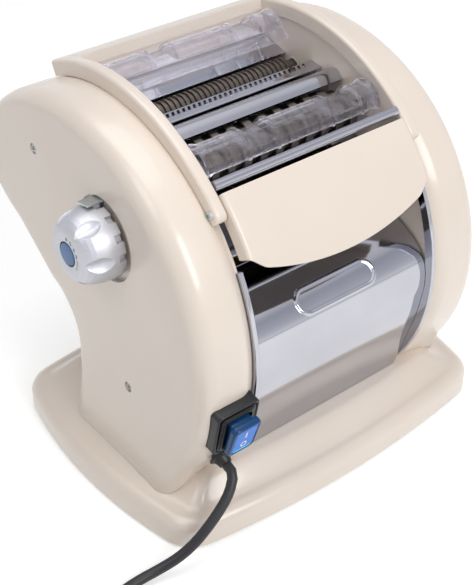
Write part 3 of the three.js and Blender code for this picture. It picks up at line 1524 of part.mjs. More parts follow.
add('base_shell', baseShell(), cream);
add('base_plate', basePlate(), steel);
add('rubber_foot_left', mirrored(rubberFoot()), rubber);
add('rubber_foot_right', rubberFoot(), rubber);
add('left_cheek', leftCheek(), cream);
add('right_cheek', cheek(), cream);
add('left_side_plate', mirrored(sidePlate(leftBushes)), cream);
add('right_side_plate', sidePlate(everyBush), cream);
add('left_trim', mirrored(trim()), chrome);
add('right_trim', trim(), chrome);
add('top_frame', topFrame(), cream);
add('frame_screw_left', mirrored(frameScrew()), zinc);
add('frame_screw_right', frameScrew(), zinc);
cheekScrewPlaces.forEach((place, i) => {
  const name = ['upper', 'lower'][i];
  add(`cheek_screw_left_${name}`, mirrored(cheekScrew(place)), zinc);
  add(`cheek_screw_right_${name}`, cheekScrew(place), zinc);
});
add('front_visor', visor(), cream);
add('rear_cover', rearCover(), chrome);
add('front_plate', frontPlate(), chrome);
add('front_deck', frontDeck(), chrome);
add('centre_hood', centreHood(), chrome);
add('scraper_comb', scraperComb(), chrome);
add('rear_guide', rearGuide(), chrome);
add('front_guide', frontGuide(), chrome);
add('pasta_tray', pastaTray(), chrome);
add('tie_rod_upper', tieRod(tieRodPlaces[0]), steel);
add('tie_rod_lower', tieRod(tieRodPlaces[1]), steel);
add('left_plate_bracket', mirrored(plateBracket()), steel);
add('right_plate_bracket', plateBracket(), steel);
add('motor', motor(), grey);
add('motor_mount', motorMount(), steel);
add('gearbox', gearbox(), grey);
add('left_bearing_plate', mirrored(bearingPlate(leftBushes, carrierPatches(false))), nylon);
add('right_bearing_plate', bearingPlate(everyBush, carrierPatches(true)), nylon);
add('roller_a', rollerA(), chrome);
add('main_gear', mainGear(), steel);
add('roller_b', rollerB(), chrome);
add('roller_b_gear', rollerBGear(), steel);
add('roller_yoke', rollerYoke(), brass);
add('fine_cutter_rear', fineCutter(axes.fineRear, phases.fineRear), chrome);
add('fine_cutter_front', fineCutter(axes.fineFront, phases.fineFront), chrome);
add('wide_cutter_rear', wideCutter(axes.wideRear, phases.wideRear, -wideCutterPitch / 4), chrome);
add('wide_cutter_front', wideCutter(axes.wideFront, phases.wideFront, wideCutterPitch / 4), chrome);
add('large_idler', idler(axes.largeIdler, largeIdlerTeeth, phases.largeIdler), steel);
add('small_idler', idler(axes.smallIdler, smallIdlerTeeth, phases.smallIdler), steel);
add('drive_pinion', drivePinion(), steel);
add('knob_hub', knobHub(), steel);
add('knob', knob(), silver);
add('knob_button', knobButton(), blue);
add('index_clip', indexClip(), zinc);
add('front_guard', frontGuard(), clear);
add('rear_guard', rearGuard(), clear);
add('switch_bezel', switchBezel(), black);
add('rocker', rocker(), blue);
add('cord_gland', cordGland(), black);
add('cord_lead', cordLead(), black);
add('cord_coil', cordCoil(), black);
add('cord_tie', cordTie(), rubber);
add('plug', plug(), black);

// The origin moves to the middle of the machine's own box, without the cord, on the floor
const bounds = new THREE.Box3();
part.children.filter((mesh) => !cordNames.includes(mesh.name)).forEach((mesh) => bounds.expandByObject(mesh));
part.position.y = -(bounds.min.y + bounds.max.y) / 2;

export default part;
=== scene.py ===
# %% [markdown]
# An electric pasta maker: a cream enamelled base and two cheeks hold chrome guides, a pair of
# smooth rollers and two pairs of cutters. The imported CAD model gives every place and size, and this
# lesson dresses it. The frame loads first, because each new piece rides on one of its bodies.

# %% Load the frame
import math

import bpy
import bmesh
import numpy as np
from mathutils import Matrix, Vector


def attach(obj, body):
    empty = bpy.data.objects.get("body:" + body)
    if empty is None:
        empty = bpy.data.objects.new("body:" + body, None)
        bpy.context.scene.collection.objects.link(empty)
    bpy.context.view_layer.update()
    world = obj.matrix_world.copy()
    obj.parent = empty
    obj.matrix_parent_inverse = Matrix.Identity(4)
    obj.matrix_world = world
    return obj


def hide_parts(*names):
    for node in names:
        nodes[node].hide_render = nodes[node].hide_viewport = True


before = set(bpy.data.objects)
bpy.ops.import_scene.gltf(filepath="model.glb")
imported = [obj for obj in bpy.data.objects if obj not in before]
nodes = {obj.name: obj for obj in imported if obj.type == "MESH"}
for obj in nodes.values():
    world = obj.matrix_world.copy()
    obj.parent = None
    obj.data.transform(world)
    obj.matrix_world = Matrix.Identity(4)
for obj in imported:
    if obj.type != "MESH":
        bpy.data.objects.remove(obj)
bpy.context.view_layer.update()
scene = bpy.context.scene

# %% [markdown]
# The shapes are worked out in millimetres in the drawing's own axes, where the big arc that the whole
# body follows is centred on (y 42, z 125). One function moves them to the model's place in metres,
# and one more puts a finished thing into the scene.

# %% Units and place
DRAWING_SHIFT = np.array([0.0, -14.2142793, 0.0])


def to_world(points):
    """Drawing millimetres to model metres: p becomes (p + shift) / 1000."""
    return (np.asarray(points, float) + DRAWING_SHIFT) / 1000


def placed(name, data):
    """A new object that holds this data, in the scene."""
    made = bpy.data.objects.new(name, data)
    scene.collection.objects.link(made)
    return made


def polar(y, z, radius, turn):
    """Points at radius and turn (degrees) round (y, z): y + r cos t, z + r sin t."""
    turn = np.radians(turn)
    return np.stack([y + radius * np.cos(turn), z + radius * np.sin(turn)], axis=-1)


def smooth(t):
    """The soft step 3t^2 - 2t^3 between 0 and 1."""
    t = np.clip(t, 0, 1)
    return t * t * (3 - 2 * t)


# %% [markdown]
# The camera stands where the photographer stood: to the left, in front and above. A long lens keeps
# the verticals nearly parallel, and the view runs along one fixed direction.

# %% Camera
SENSOR_MM, FOCAL_PIXELS, PHOTO_HIGH = 36.0, 1186.0, 585.0
EYE = (-0.4408, -0.5316 + DRAWING_SHIFT[1] / 1000, 0.6034)
LOOK = Vector((0.5048, 0.6265, -0.5938))
camera_data = bpy.data.cameras.new("camera")
camera_data.sensor_width = SENSOR_MM
camera_data.lens = FOCAL_PIXELS * SENSOR_MM / PHOTO_HIGH
camera = placed("camera", camera_data)
camera.location = EYE
camera.rotation_euler = LOOK.to_track_quat("-Z", "Y").to_euler()
scene.camera = camera
print("lens", round(camera_data.lens, 1), "mm")

# %% [markdown]
# Materials are built from shader nodes. One helper adds a node with its settings and links, and one
# more turns the sRGB hex that a paint chart gives into the linear colour that the shader works in.

# %% Material helpers


def linear(code, alpha=1.0):
    """sRGB hex to linear: c / 12.92 below 0.04045, else ((c + 0.055) / 1.055)^2.4."""
    value = np.array([int(code[i:i + 2], 16) for i in (0, 2, 4)]) / 255
    value = np.where(value <= 0.04045, value / 12.92, ((value + 0.055) / 1.055) ** 2.4)
    return (*value.tolist(), alpha)


def fill(tree, node, inputs):
    """Fills a node's inputs: a socket is linked, and any other value is set."""
    for key, value in inputs.items():
        if isinstance(value, bpy.types.NodeSocket):
            tree.links.new(value, node.inputs[key])
        else:
            node.inputs[key].default_value = value


def add(tree, kind, inputs=None, **settings):
    """Adds a node, sets its settings, and fills its inputs."""
    node = tree.nodes.new(kind)
    for key, value in settings.items():
        setattr(node, key, value)
    fill(tree, node, inputs or {})
    return node


def blank(name):
    """A new material with its principled shader, its tree and Object coordinates."""
    made = bpy.data.materials.new(name)
    made.use_nodes = True
    tree = made.node_tree
    shader = tree.nodes["Principled BSDF"]
    place = add(tree, "ShaderNodeTexCoord").outputs["Object"]
    return made, tree, shader, place


def set_shader(tree, shader, **values):
    """Fills the shader's inputs by their names, with _ for each space."""
    fill(tree, shader, {key.replace("_", " "): value for key, value in values.items()})


def noise(tree, place, grain_mm, detail=3.0, stretch=(1, 1, 1)):
    """Noise whose blobs are about grain_mm wide, after stretching the coordinates."""
    mapped = add(tree, "ShaderNodeMapping", {"Vector": place, "Scale": stretch})
    return add(tree, "ShaderNodeTexNoise", {"Vector": mapped.outputs[0], "Scale": 1000 / grain_mm,
                                            "Detail": detail}).outputs[0]


def mixed(tree, share, low, high):
    """A colour between two hex values, by a 0 to 1 share."""
    ramp = add(tree, "ShaderNodeValToRGB", {"Fac": share})
    ramp.color_ramp.elements[0].color = linear(low)
    ramp.color_ramp.elements[1].color = linear(high)
    return ramp.outputs[0]


def spread(tree, share, low, high):
    """Maps a 0 to 1 share onto the range low to high."""
    return add(tree, "ShaderNodeMapRange", {"Value": share, "To Min": low, "To Max": high}).outputs[0]


def reckon(tree, operation, a, b):
    """A sum of two sockets or numbers, such as their MAXIMUM."""
    return add(tree, "ShaderNodeMath", {0: a, 1: b}, operation=operation).outputs[0]


def rays(tree, *kinds):
    """1 for a ray of any of these kinds, and 0 for the others."""
    flags = add(tree, "ShaderNodeLightPath").outputs
    found = flags[f"Is {kinds[0]} Ray"]
    for kind in kinds[1:]:
        found = reckon(tree, "MAXIMUM", found, flags[f"Is {kind} Ray"])
    return found


def surface(tree, output, share, first, second):
    """Mixes two shaders by a 0 to 1 share into the output node's surface."""
    both = add(tree, "ShaderNodeMixShader", {0: share, 1: first.outputs[0], 2: second.outputs[0]})
    tree.links.new(both.outputs[0], tree.nodes[output].inputs["Surface"])


def dressed(name, tint, shine, relief, **extra):
    """A material from three noises: two colours, two roughnesses, and a strength with a depth in mm.
    Behind its two values each noise has its grain in mm, and may have its detail and its stretch."""
    made, tree, shader, place = blank(name)
    cloud, gloss, height = [noise(tree, place, *each[2:]) for each in (tint, shine, relief)]
    strength, depth_mm = relief[:2]
    bump = add(tree, "ShaderNodeBump", {"Height": height, "Strength": strength, "Distance": depth_mm / 1000})
    set_shader(tree, shader, Base_Color=mixed(tree, cloud, *tint[:2]),
               Roughness=spread(tree, gloss, *shine[:2]), Normal=bump.outputs[0], **extra)
    return made


print("material helpers ready")

# %% [markdown]
# The body is die-cast and pressed metal under baked enamel. Enamel flows as it bakes, so it is glossy
# and keeps a very slight orange-peel ripple a few millimetres across.

# %% Baked cream enamel
enamel = dressed("baked_cream_enamel", ("e2d5c9", "e8dcd0", 60), (0.26, 0.36, 25), (0.12, 0.05, 3.5, 1.0),
                 IOR=1.52, Coat_Weight=0.5, Coat_Roughness=0.08)
print(enamel.name)

# %% [markdown]
# The guides and the nose plate are sheet steel under bright chrome. Its mirror is never quite even:
# rolling leaves long faint waves, and wiping leaves fine marks. Both only change how sharp it reflects.

# %% Bright chrome plate


def plated(name, dark, light, low, high, grain_mm, stretch, ripple):
    """A plated metal: colour between two hex values, roughness low to high along its grain."""
    return dressed(name, (dark, light, 45), (low, high, grain_mm, 4.0, stretch), (ripple, 0.3, 30, 2.0),
                   Metallic=1.0)


chrome = plated("bright_chrome_plate", "b4b5bc", "c3c4cb", 0.05, 0.13, 2.0, (0.06, 1, 1), 0.03)
ground = plated("ground_steel", "8e8a86", "a39f9a", 0.22, 0.36, 0.8, (0.2, 1, 1), 0.02)
sheet_steel = plated("cold_rolled_sheet_steel", "8f9296", "a6a9ac", 0.3, 0.45, 1.0, (0.1, 1, 1), 0.03)
cutter_steel = plated("tempered_cutter_steel", "625a54", "7c746d", 0.24, 0.38, 0.8, (0.2, 1, 1), 0.02)
gear_steel = plated("greased_gear_steel", "77797c", "8c8e90", 0.3, 0.5, 1.5, (1, 1, 1), 0.05)
zinc = plated("zinc_plate", "b6bfc0", "ced6d6", 0.34, 0.48, 1.2, (1, 1, 1), 0.06)
brass = plated("cast_brass", "9a8048", "b99a5b", 0.35, 0.5, 2.0, (1, 1, 1), 0.1)
print("materials so far", len(bpy.data.materials))

# %% [markdown]
# The knob is a moulding under satin silver lacquer. Metal flakes in the lacquer catch light one by
# one, so a fine speckle half a millimetre across sits under a soft sheen.

# %% Satin silver lacquer
lacquer = dressed("satin_silver_lacquer", ("b9bac1", "d6d7dc", 0.5, 1.0), (0.4, 0.5, 0.6, 1.0),
                  (0.15, 0.02, 0.5, 1.0), Metallic=0.7)
print(lacquer.name)

# %% [markdown]
# Plastics, rubber and the cord's sheath share one recipe: a body colour with a slight drift, and a
# moulded texture whose grain sets how the surface breaks up a highlight.

# %% Moulded plastics and rubber


def moulded(name, dark, light, low, high, grain_mm, depth, **extra):
    """A moulded plastic: colour drift, roughness low to high, and a grain of that size."""
    return dressed(name, (dark, light, 20), (low, high, 8), (0.3, depth, grain_mm, 2.0), IOR=1.5, **extra)


black_nylon = moulded("black_moulded_nylon", "121214", "1b1b1e", 0.32, 0.45, 0.5, 0.03)
sheath = moulded("soft_black_pvc_sheath", "1c1c20", "26262b", 0.38, 0.5, 1.2, 0.04)
rubber = moulded("black_rubber", "131313", "1c1c1c", 0.7, 0.85, 0.8, 0.06)
nylon = moulded("natural_nylon", "dfddd4", "e8e6df", 0.45, 0.6, 1.5, 0.05)
motor_paint = moulded("grey_machine_paint", "63666a", "72757a", 0.4, 0.55, 1.0, 0.05)
blue_satin = moulded("satin_blue_plastic", "4d6fa0", "5c7fb0", 0.35, 0.5, 0.6, 0.02)
blue_rim = moulded("deep_blue_translucent_plastic", "0a3563", "104b80", 0.16, 0.26, 5.0, 0.03,
                   Specular_IOR_Level=0.3)
# Painted glow: the lens emits a faint light of its own blue, though no lamp lights the switch.
blue_lens_painted_glow = moulded("blue_translucent_plastic_painted_glow", "0458ac", "0668c4", 0.2, 0.3, 5.0, 0.03,
                    Specular_IOR_Level=0.25, Emission_Color=linear("0668c4"), Emission_Strength=0.3)
white_ink = moulded("white_printing_ink", "e9edf2", "f4f6f8", 0.45, 0.55, 1.0, 0.01)
dark_ink = moulded("grey_printing_ink", "55565c", "62636a", 0.5, 0.6, 1.0, 0.01)
# Painted glow: the cyan strip emits a faint light of its own colour, though no lamp lights the switch.
cyan_edge_painted_glow = moulded("cyan_strip_painted_glow", "08a4cf", "10b6de", 0.2, 0.3, 4.0, 0.02,
                    Emission_Color=linear("12b8e0"), Emission_Strength=0.35)
print("materials so far", len(bpy.data.materials))

# %% [markdown]
# The guards are clear polycarbonate, moulded thin. Clear plastic is almost all refraction: it shows as
# bright edges and a faint violet cast where the wall is seen edge on. Light reaches what lies under
# a guard, so rays that only carry shadow or scattered light pass straight through, and a third of the
# others do. Cut and moulded edges scatter light, and a painted highlight stands for it: a faint violet
# glow that grows towards the rim, which also paints part of the bright edges and the violet cast.

# %% Clear polycarbonate
clear, tree, shader, place = blank("clear_polycarbonate")
# Painted highlight: the rim glow is light the plastic emits itself, strongest where the wall is seen edge on.
rim = add(tree, "ShaderNodeLayerWeight", {"Blend": 0.4}).outputs["Facing"]
rim = reckon(tree, "MULTIPLY", reckon(tree, "POWER", rim, 5.0), 0.9)
set_shader(tree, shader, Base_Color=linear("fbfbfe"), Transmission_Weight=1.0, IOR=1.45,
           Roughness=spread(tree, noise(tree, place, 12), 0.0, 0.015),
           Emission_Color=linear("f3f0fb"), Emission_Strength=rim)
passed = add(tree, "ShaderNodeBsdfTransparent", {"Color": linear("f8f8fc")})
surface(tree, "Material Output", spread(tree, rays(tree, "Shadow", "Diffuse"), 0.35, 1.0), shader, passed)
print("materials", len(bpy.data.materials))

# %% [markdown]
# Each new piece is a grid of points worked out by numpy. A closed body comes from two such grids, an
# outer and an inner skin, with strips along their borders, so it has a real wall and no open edge.

# %% From grids to meshes
SHARP = math.radians(32)
WELD, SLIVER = 2e-6, 1e-7


def solid_mesh(name, points, faces, weld=True):
    """A mesh in metres with its faces turned out. Weld merges doubled points and drops slivers."""
    mesh = bpy.data.meshes.new(name)
    mesh.from_pydata(to_world(points).tolist(), [], faces)
    work = bmesh.new()
    work.from_mesh(mesh)
    if weld:
        bmesh.ops.remove_doubles(work, verts=work.verts, dist=WELD)
        bmesh.ops.dissolve_degenerate(work, edges=work.edges, dist=SLIVER)
    bmesh.ops.recalc_face_normals(work, faces=work.faces)
    work.to_mesh(mesh)
    work.free()
    return mesh


def finish_mesh(name, solid, material, stands_for=None, body="machine", sharp=SHARP):
    """Makes a piece that rides on a body of the frame and may stand for a CAD node."""
    mesh = solid_mesh(name, *solid)
    mesh.shade_smooth()
    mesh.set_sharp_from_angle(angle=sharp)
    mesh.materials.append(material)
    piece = placed(name, mesh)
    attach(piece, body)
    if stands_for:
        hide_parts(stands_for)
    return piece


def with_x(x, spot):
    """Points (x, y, z) from x, which may be one for a whole row, and (y, z)."""
    return np.concatenate([np.broadcast_to(x, spot.shape[:-1])[..., None], spot], axis=-1)


def with_z(plan, z):
    """Points (x, y, z) from a plan of (x, y), all at one z."""
    return np.column_stack([plan, np.full(len(plan), z)])


def quads(rows, cols, around=False, start=0, flip=False):
    """The faces of a grid of points, row by row; around joins the last column to the first."""
    index = start + np.arange(rows * cols).reshape(rows, cols)
    if around:
        index = np.concatenate([index, index[:, :1]], axis=1)
    faces = np.stack([index[:-1, :-1], index[:-1, 1:], index[1:, 1:], index[1:, :-1]], axis=-1).reshape(-1, 4)
    return (faces[:, ::-1] if flip else faces).tolist()


def tube(grid):
    """Points and faces of a grid that is closed round its columns, with both ends filled."""
    rows, cols = grid.shape[:2]
    faces = quads(rows, cols, around=True)
    faces.append(list(range(cols))[::-1])
    faces.append([(rows - 1) * cols + i for i in range(cols)])
    return grid.reshape(-1, 3), faces


def shell(outer, inner, around=False, caps=(False, False)):
    """Points and faces of a wall between two grids of one size, with its borders closed."""
    rows, cols = outer.shape[:2]
    count = rows * cols
    faces = quads(rows, cols, around) + quads(rows, cols, around, count, True)
    index = np.arange(count).reshape(rows, cols)
    borders = []
    for row, cap in ((0, caps[0]), (-1, caps[1])):
        if cap:
            faces += [index[row].tolist(), (index[row] + count).tolist()]
        else:
            borders.append(np.append(index[row], index[row, 0]) if around else index[row])
    if not around:
        borders += [index[:, 0], index[:, -1]]
    for edge in borders:
        faces += np.stack([edge[:-1], edge[1:], edge[1:] + count, edge[:-1] + count], axis=-1).tolist()
    return np.concatenate([outer.reshape(-1, 3), inner.reshape(-1, 3)]), faces


def several(*bodies):
    """Several bodies' points and faces as one list."""
    points, faces, start = [], [], 0
    for p, f in bodies:
        points.append(p)
        faces += [[start + i for i in face] for face in f]
        start += len(p)
    return np.concatenate(points), faces


def along_x(outline, x0, x1, steps=1):
    """An outline of (y, z) points drawn out along X: (x, y, z) for each x from x0 to x1."""
    return tube(np.stack([with_x(x, np.asarray(outline, float)) for x in np.linspace(x0, x1, steps + 1)]))


def turned(profile, y, z, sides=64):
    """A profile of (x, radius) turned round the X axis through (y, z)."""
    ring = polar(0, 0, 1, np.arange(sides) * 360 / sides)
    return tube(np.stack([with_x(x, r * ring + [y, z]) for x, r in profile]))


def rounded_line(points, radius, steps=6):
    """A polyline whose corners become curves: each corner is a quadratic arc that starts and
    ends radius away from it, B(t) = (1-t)^2 a + 2t(1-t) corner + t^2 b."""
    points = np.asarray(points, float)
    made = [points[:1]]
    t = np.linspace(0, 1, steps + 1)[:, None]
    for before, corner, after in zip(points[:-2], points[1:-1], points[2:]):
        back, ahead = before - corner, after - corner
        reach = min(radius, np.linalg.norm(back) / 2.1, np.linalg.norm(ahead) / 2.1)
        a = corner + back / np.linalg.norm(back) * reach
        b = corner + ahead / np.linalg.norm(ahead) * reach
        made.append((1 - t) ** 2 * a + 2 * t * (1 - t) * corner + t ** 2 * b)
    made.append(points[-1:])
    return np.concatenate(made)


def sheet_outline(line, thick):
    """A line with its thickness on the left of its run: p + thick * (-dz, dy)."""
    run = np.gradient(line, axis=0)
    run /= np.linalg.norm(run, axis=1, keepdims=True)
    other = line + thick * np.stack([-run[:, 1], run[:, 0]], axis=-1)
    return np.concatenate([line, other[::-1]])


def mirror_x(body):
    """The same body on the other side of the machine."""
    points, faces = body
    return points * np.array([-1, 1, 1]), faces


print("helpers ready")

# %% [markdown]
# The cord comes first among the pieces. It leaves the gland on the left cheek, runs down over the
# corner of the plinth, and the length that isn't needed lies coiled in two layers, held by a tie.

# %% The cord's route
CHEEK_ARC = 140
ARC_Y, ARC_Z = 42, 125


def crown(normal_y):
    """How far the cheek's face swells past its outline: 1 + 5 smooth(-n) for a normal of n along Y."""
    return 1 + 5 * smooth(np.maximum(-np.asarray(normal_y), 0))


def on_cheek(x, turn, local):
    """Local (across, up, out) points on the cheek's front at that turn, in drawing millimetres."""
    y, z = np.cos(np.radians(turn)), np.sin(np.radians(turn))
    foot = polar(ARC_Y, ARC_Z, CHEEK_ARC + crown(y), turn)
    u, v, w = np.moveaxis(np.asarray(local, float), -1, 0)
    return np.stack([x + u, foot[0] + v * z + w * y, foot[1] - v * y + w * z], axis=-1)


def smooth_path(points, step):
    """A centripetal Catmull-Rom curve through the points, cut into equal steps."""
    p = np.asarray(points, float)
    p = np.concatenate([2 * p[:1] - p[1:2], p, 2 * p[-1:] - p[-2:-1]])
    dense = []
    for a, b, c, d in zip(p[:-3], p[1:-2], p[2:-1], p[3:]):
        t0, t1, t2, t3 = np.cumsum([0] + [np.sqrt(np.linalg.norm(m - n))
                                          for m, n in ((b, a), (c, b), (d, c))])
        t = np.linspace(t1, t2, 24, endpoint=False)[:, None]
        ab, bc, cd = [(r * (e - t) + s * (t - f)) / (e - f) for r, s, f, e in
                      ((a, b, t0, t1), (b, c, t1, t2), (c, d, t2, t3))]
        low, high = (ab * (t2 - t) + bc * (t - t0)) / (t2 - t0), (bc * (t3 - t) + cd * (t - t1)) / (t3 - t1)
        dense.append((low * (t2 - t) + high * (t - t1)) / (t2 - t1))
    dense = np.concatenate(dense + [p[-2:-1]])
    run = np.append(0, np.cumsum(np.linalg.norm(np.diff(dense, axis=0), axis=1)))
    at = np.linspace(0, run[-1], max(int(round(run[-1] / step)), 1) + 1)
    return np.stack([np.interp(at, run, dense[:, k]) for k in range(3)], axis=-1)


GLAND_X, GLAND_TURN = -99, 206.6
COIL_X, COIL_Y, COIL_INNER, COIL_TURNS, COIL_LAYER = -232, -159, 29.4058, 5.25, 7.7
COIL_LOW = 4.8
ROUTE = [[-101.5, -105, 49.5], [-108, -108.5, 43], [-117, -110.5, 36], [-128, -111.5, 28],
         [-139, -111, 20], [-150, -108.5, 13], [-162, -105, 8], [-176, -102.5, 5.4], [-190, -103, 4.9]]
turns = np.linspace(0, COIL_TURNS, int(COIL_TURNS * 32) + 1)
radius = COIL_INNER + COIL_LAYER * np.abs(turns - COIL_TURNS / 2)
angle = np.radians(90 + 360 * turns)
loops = np.stack([COIL_X + radius * np.cos(angle), COIL_Y + radius * np.sin(angle),
                  COIL_LOW + COIL_LAYER * smooth((turns - COIL_TURNS / 2) / 0.5 + 0.5)], axis=-1)
gland_tip = on_cheek(GLAND_X, GLAND_TURN, [[0, 0, 8.3], [0, 0, 15.3]])
before_coil = loops[0] + [7.3, 0, 0]
lead = smooth_path(np.concatenate([gland_tip, ROUTE, [before_coil + [7, 0, 0], before_coil]]), 5.5)
tail = loops[-1] + np.array([0, -1, 0]) * np.linspace(6, 42, 7)[:, None]
cord_line = np.concatenate([lead, [before_coil - [3.6, 0, 0]], loops, tail])
cord_curve = bpy.data.curves.new("mains_cord", "CURVE")
cord_curve.dimensions = "3D"
cord_curve.bevel_depth = 0.0035
cord_curve.bevel_resolution = 6
cord_curve.use_fill_caps = True
spline = cord_curve.splines.new("POLY")
spline.points.add(len(cord_line) - 1)
flat = np.concatenate([to_world(cord_line), np.ones((len(cord_line), 1))], axis=1)
spline.points.foreach_set("co", flat.ravel())
spline.use_smooth = True
cord_curve.materials.append(sheath)
mains_cord = placed("mains_cord", cord_curve)
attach(mains_cord, "machine")
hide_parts("cord_lead", "cord_coil")

# %% [markdown]
# The plug, its ribbed strain relief and the tie lie with the cord. The plug is a flat two-pin
# moulding whose section grows from the round sleeve to a soft rectangle.

# %% Plug, sleeve and tie


def rounded_ring(wide, high, corner, steps=8):
    """A rectangle round zero with round corners, as (u, v) points that run counter-clockwise."""
    x, y = wide / 2 - corner, high / 2 - corner
    return np.concatenate([polar(sx * x, sy * y, corner, np.linspace(turn, turn + 90, steps + 1))
                           for sx, sy, turn in ((1, 1, 0), (-1, 1, 90), (-1, -1, 180), (1, -1, 270))])


def stations(rows, steps=8):
    """Local rings for (wide, high, corner, depth) rows: (u, v, depth) points."""
    return np.stack([with_z(rounded_ring(w, h, c, steps), d) for w, h, c, d in rows])


def hoop(grid):
    """A grid that is closed both ways, like a ring."""
    rows, cols = grid.shape[:2]
    first = np.arange(cols)
    last = (rows - 1) * cols + first
    join = np.stack([last, np.roll(last, -1), np.roll(first, -1), first], axis=-1).tolist()
    return grid.reshape(-1, 3), quads(rows, cols, around=True) + join


end = loops[-1] + [0, -42.3, 0]


def on_plug(body, start):
    """Turns a body that was made along X to run along -Y, from start millimetres past the cord's end."""
    points, faces = body
    return end - [0, start, 0] + points[:, [1, 0, 2]] * [1, -1, 1], faces


plug_rows = [(9.2, 9.2, 4.5, 0), (9.2, 9.2, 4.5, 7), (11, 11, 5, 8.5), (20, 18.4, 6.5, 12), (27, 22, 8, 17),
             (34.5, 24, 8.5, 23), (36, 24.4, 8.5, 27), (35.4, 24, 8, 33), (33.4, 22.6, 7.5, 39.5),
             (32.4, 21.9, 7, 41.4), (31, 20.6, 6.5, 42)]
plug = finish_mesh("mains_plug", on_plug(tube(stations(plug_rows, 10)[..., [2, 0, 1]]), 0), black_nylon,
                   "plug")
pin_profile = [(0, 2.4), (17.6, 2.4), (18.6, 1.9), (19, 1.2)]
pins = [on_plug(turned(pin_profile, side, 0, 32), 42) for side in (-9.5, 9.5)]
plug_pins = finish_mesh("plug_pins", several(*pins), brass)
along = np.linspace(0, 22, 89)
girth = 4.1 + 0.9 * along / 22 - 0.35 * (np.cos(2 * np.pi * along / 3.1) > 0.35)
relief = finish_mesh("plug_strain_relief", on_plug(turned(np.column_stack([along, girth]), 0, 0, 40), -14),
                     black_nylon)
tie_in, tie_out, tie_top = 25.606, 53.418, 16.3
turn = np.radians(135)


def tie_loop(grow, corner):
    """The tie's rounded outline round the bundle, grown by its wall, at five places across it."""
    ring = rounded_ring(tie_out - tie_in + 2 * grow, tie_top + grow, corner)
    across = np.linspace(-4, 4, 5)
    radial = ring[:, 0] + (tie_out + tie_in) / 2
    up = np.maximum(ring[:, 1] + (tie_top + grow) / 2 + 1 - grow, 1 - grow)
    x = COIL_X + radial * math.cos(turn) - across[:, None] * math.sin(turn)
    y = COIL_Y + radial * math.sin(turn) + across[:, None] * math.cos(turn)
    return np.stack([x, y, np.broadcast_to(up, x.shape)], axis=-1)


tie = finish_mesh("cord_strap", shell(tie_loop(0.95, 4), tie_loop(0, 3), around=True), rubber,
                  "cord_tie")
print("plug and tie", len(plug.data.polygons) + len(tie.data.polygons), "faces")

# %% [markdown]
# The plinth is a pressed pan. Its plan is four shallow arcs with round corners. The wall rolls over a
# shoulder, then a soft concave slope climbs to the flat on which the cheeks stand.

# %% Plinth
SIDE_ARC, SIDE_CENTRE, FRONT_ARC, FRONT_CENTRE = 371, -221.0, 789, 675.4
CORNER, LEAST_CORNER, SKIN = 26, 8, 2.4
WALL_TOP, SHOULDER_TOP, CLIMB = 13, 22, 14
SHOULDER, SLOPE_SIDE, SLOPE_FRONT = 10, 32, 20


def plan_ring(side, front, z, corner, n=12):
    """The plan drawn in by side and front, whose corner arc touches both of the shallow arcs."""
    a, b = np.array([SIDE_CENTRE, 0]), np.array([0, FRONT_CENTRE])
    ra, rb = SIDE_ARC - side - corner, FRONT_ARC - front - corner
    span = np.linalg.norm(b - a)
    go = (ra ** 2 - rb ** 2 + span ** 2) / (2 * span)
    off = -math.sqrt(ra ** 2 - go ** 2)
    u = (b - a) / span
    knee = a + u * go + off * np.array([-u[1], u[0]])
    t1 = math.degrees(math.atan2(knee[1], knee[0] - a[0]))
    t2 = math.degrees(math.atan2(knee[1] - b[1], knee[0]))
    quarter = np.concatenate([polar(*a, SIDE_ARC - side, np.linspace(0, t1, n + 1))[:-1],
                              polar(*knee, corner, np.linspace(t1, t2, n + 1)),
                              polar(*b, FRONT_ARC - front, np.linspace(t2, -90, n + 1))[1:]])
    back = quarter[::-1]
    plan = np.concatenate([quarter[:-1], (back * [-1, 1])[:-1], (-quarter)[:-1], (back * [1, -1])[:-1]])
    return with_z(plan, z)


def pan(skin, foot):
    """Rings up the pan's outside, or its inside when it is drawn in by the skin."""
    rings = [plan_ring(skin, skin, z, CORNER - skin) for z in (foot, 8, WALL_TOP - skin / 2)]
    for turn in np.radians(np.linspace(6, 90, 13)):
        inset = SHOULDER * (1 - math.cos(turn)) + skin
        rings.append(plan_ring(inset, inset, WALL_TOP + (SHOULDER_TOP - WALL_TOP) * math.sin(turn) - skin,
                               max(CORNER - inset, LEAST_CORNER)))
    for s in np.linspace(0.06, 1, 16):
        rings.append(plan_ring(SHOULDER + SLOPE_SIDE * s + skin, SHOULDER + SLOPE_FRONT * s + skin,
                               SHOULDER_TOP + CLIMB * smooth(s) - skin,
                               max(CORNER - SHOULDER - SLOPE_FRONT * s - skin, LEAST_CORNER)))
    return np.stack(rings)


plinth = finish_mesh("plinth", shell(pan(0, 2), pan(SKIN, 2), around=True, caps=(False, True)), enamel,
                     "base_shell", sharp=math.radians(50))


def plinth_height(x, y):
    """The height of the plinth's top at (x, y): 22 + 14 smooth(s), with s = 1 on the flat."""
    half = SIDE_CENTRE + np.sqrt(SIDE_ARC ** 2 - np.clip(y, -300, 300) ** 2)
    return SHOULDER_TOP + CLIMB * smooth((half - SHOULDER - np.abs(x)) / SLOPE_SIDE)


print("plinth", len(plinth.data.polygons), "faces")

# %% [markdown]
# Each cheek is a deep shell whose front follows the big arc, whose back follows the neck, and whose
# rows of points join the two. Its lower edge is let down onto the plinth's slope.

# %% Cheeks
CHEEK_IN, CHEEK_TOP, FOOT_Z, SEAM = 79.8, 265, 36.5, 0.5
CHEEK_HALF, DRAFT, FLARE, FLARE_FADE = 119, 5.5, 6, 15
EDGE_ROUND, LIP_WIDE, SLOPE_FADE = 14, 13, 14
HEAD, HEAD_R, HEAD_TURN, TIP_TURN = (96.05645, 195.7029), 51, 52.6, -20
NECK, NECK_R, NECK_TURN, REAR_Y = (82, 80.9128), 38, 107.8199, 44


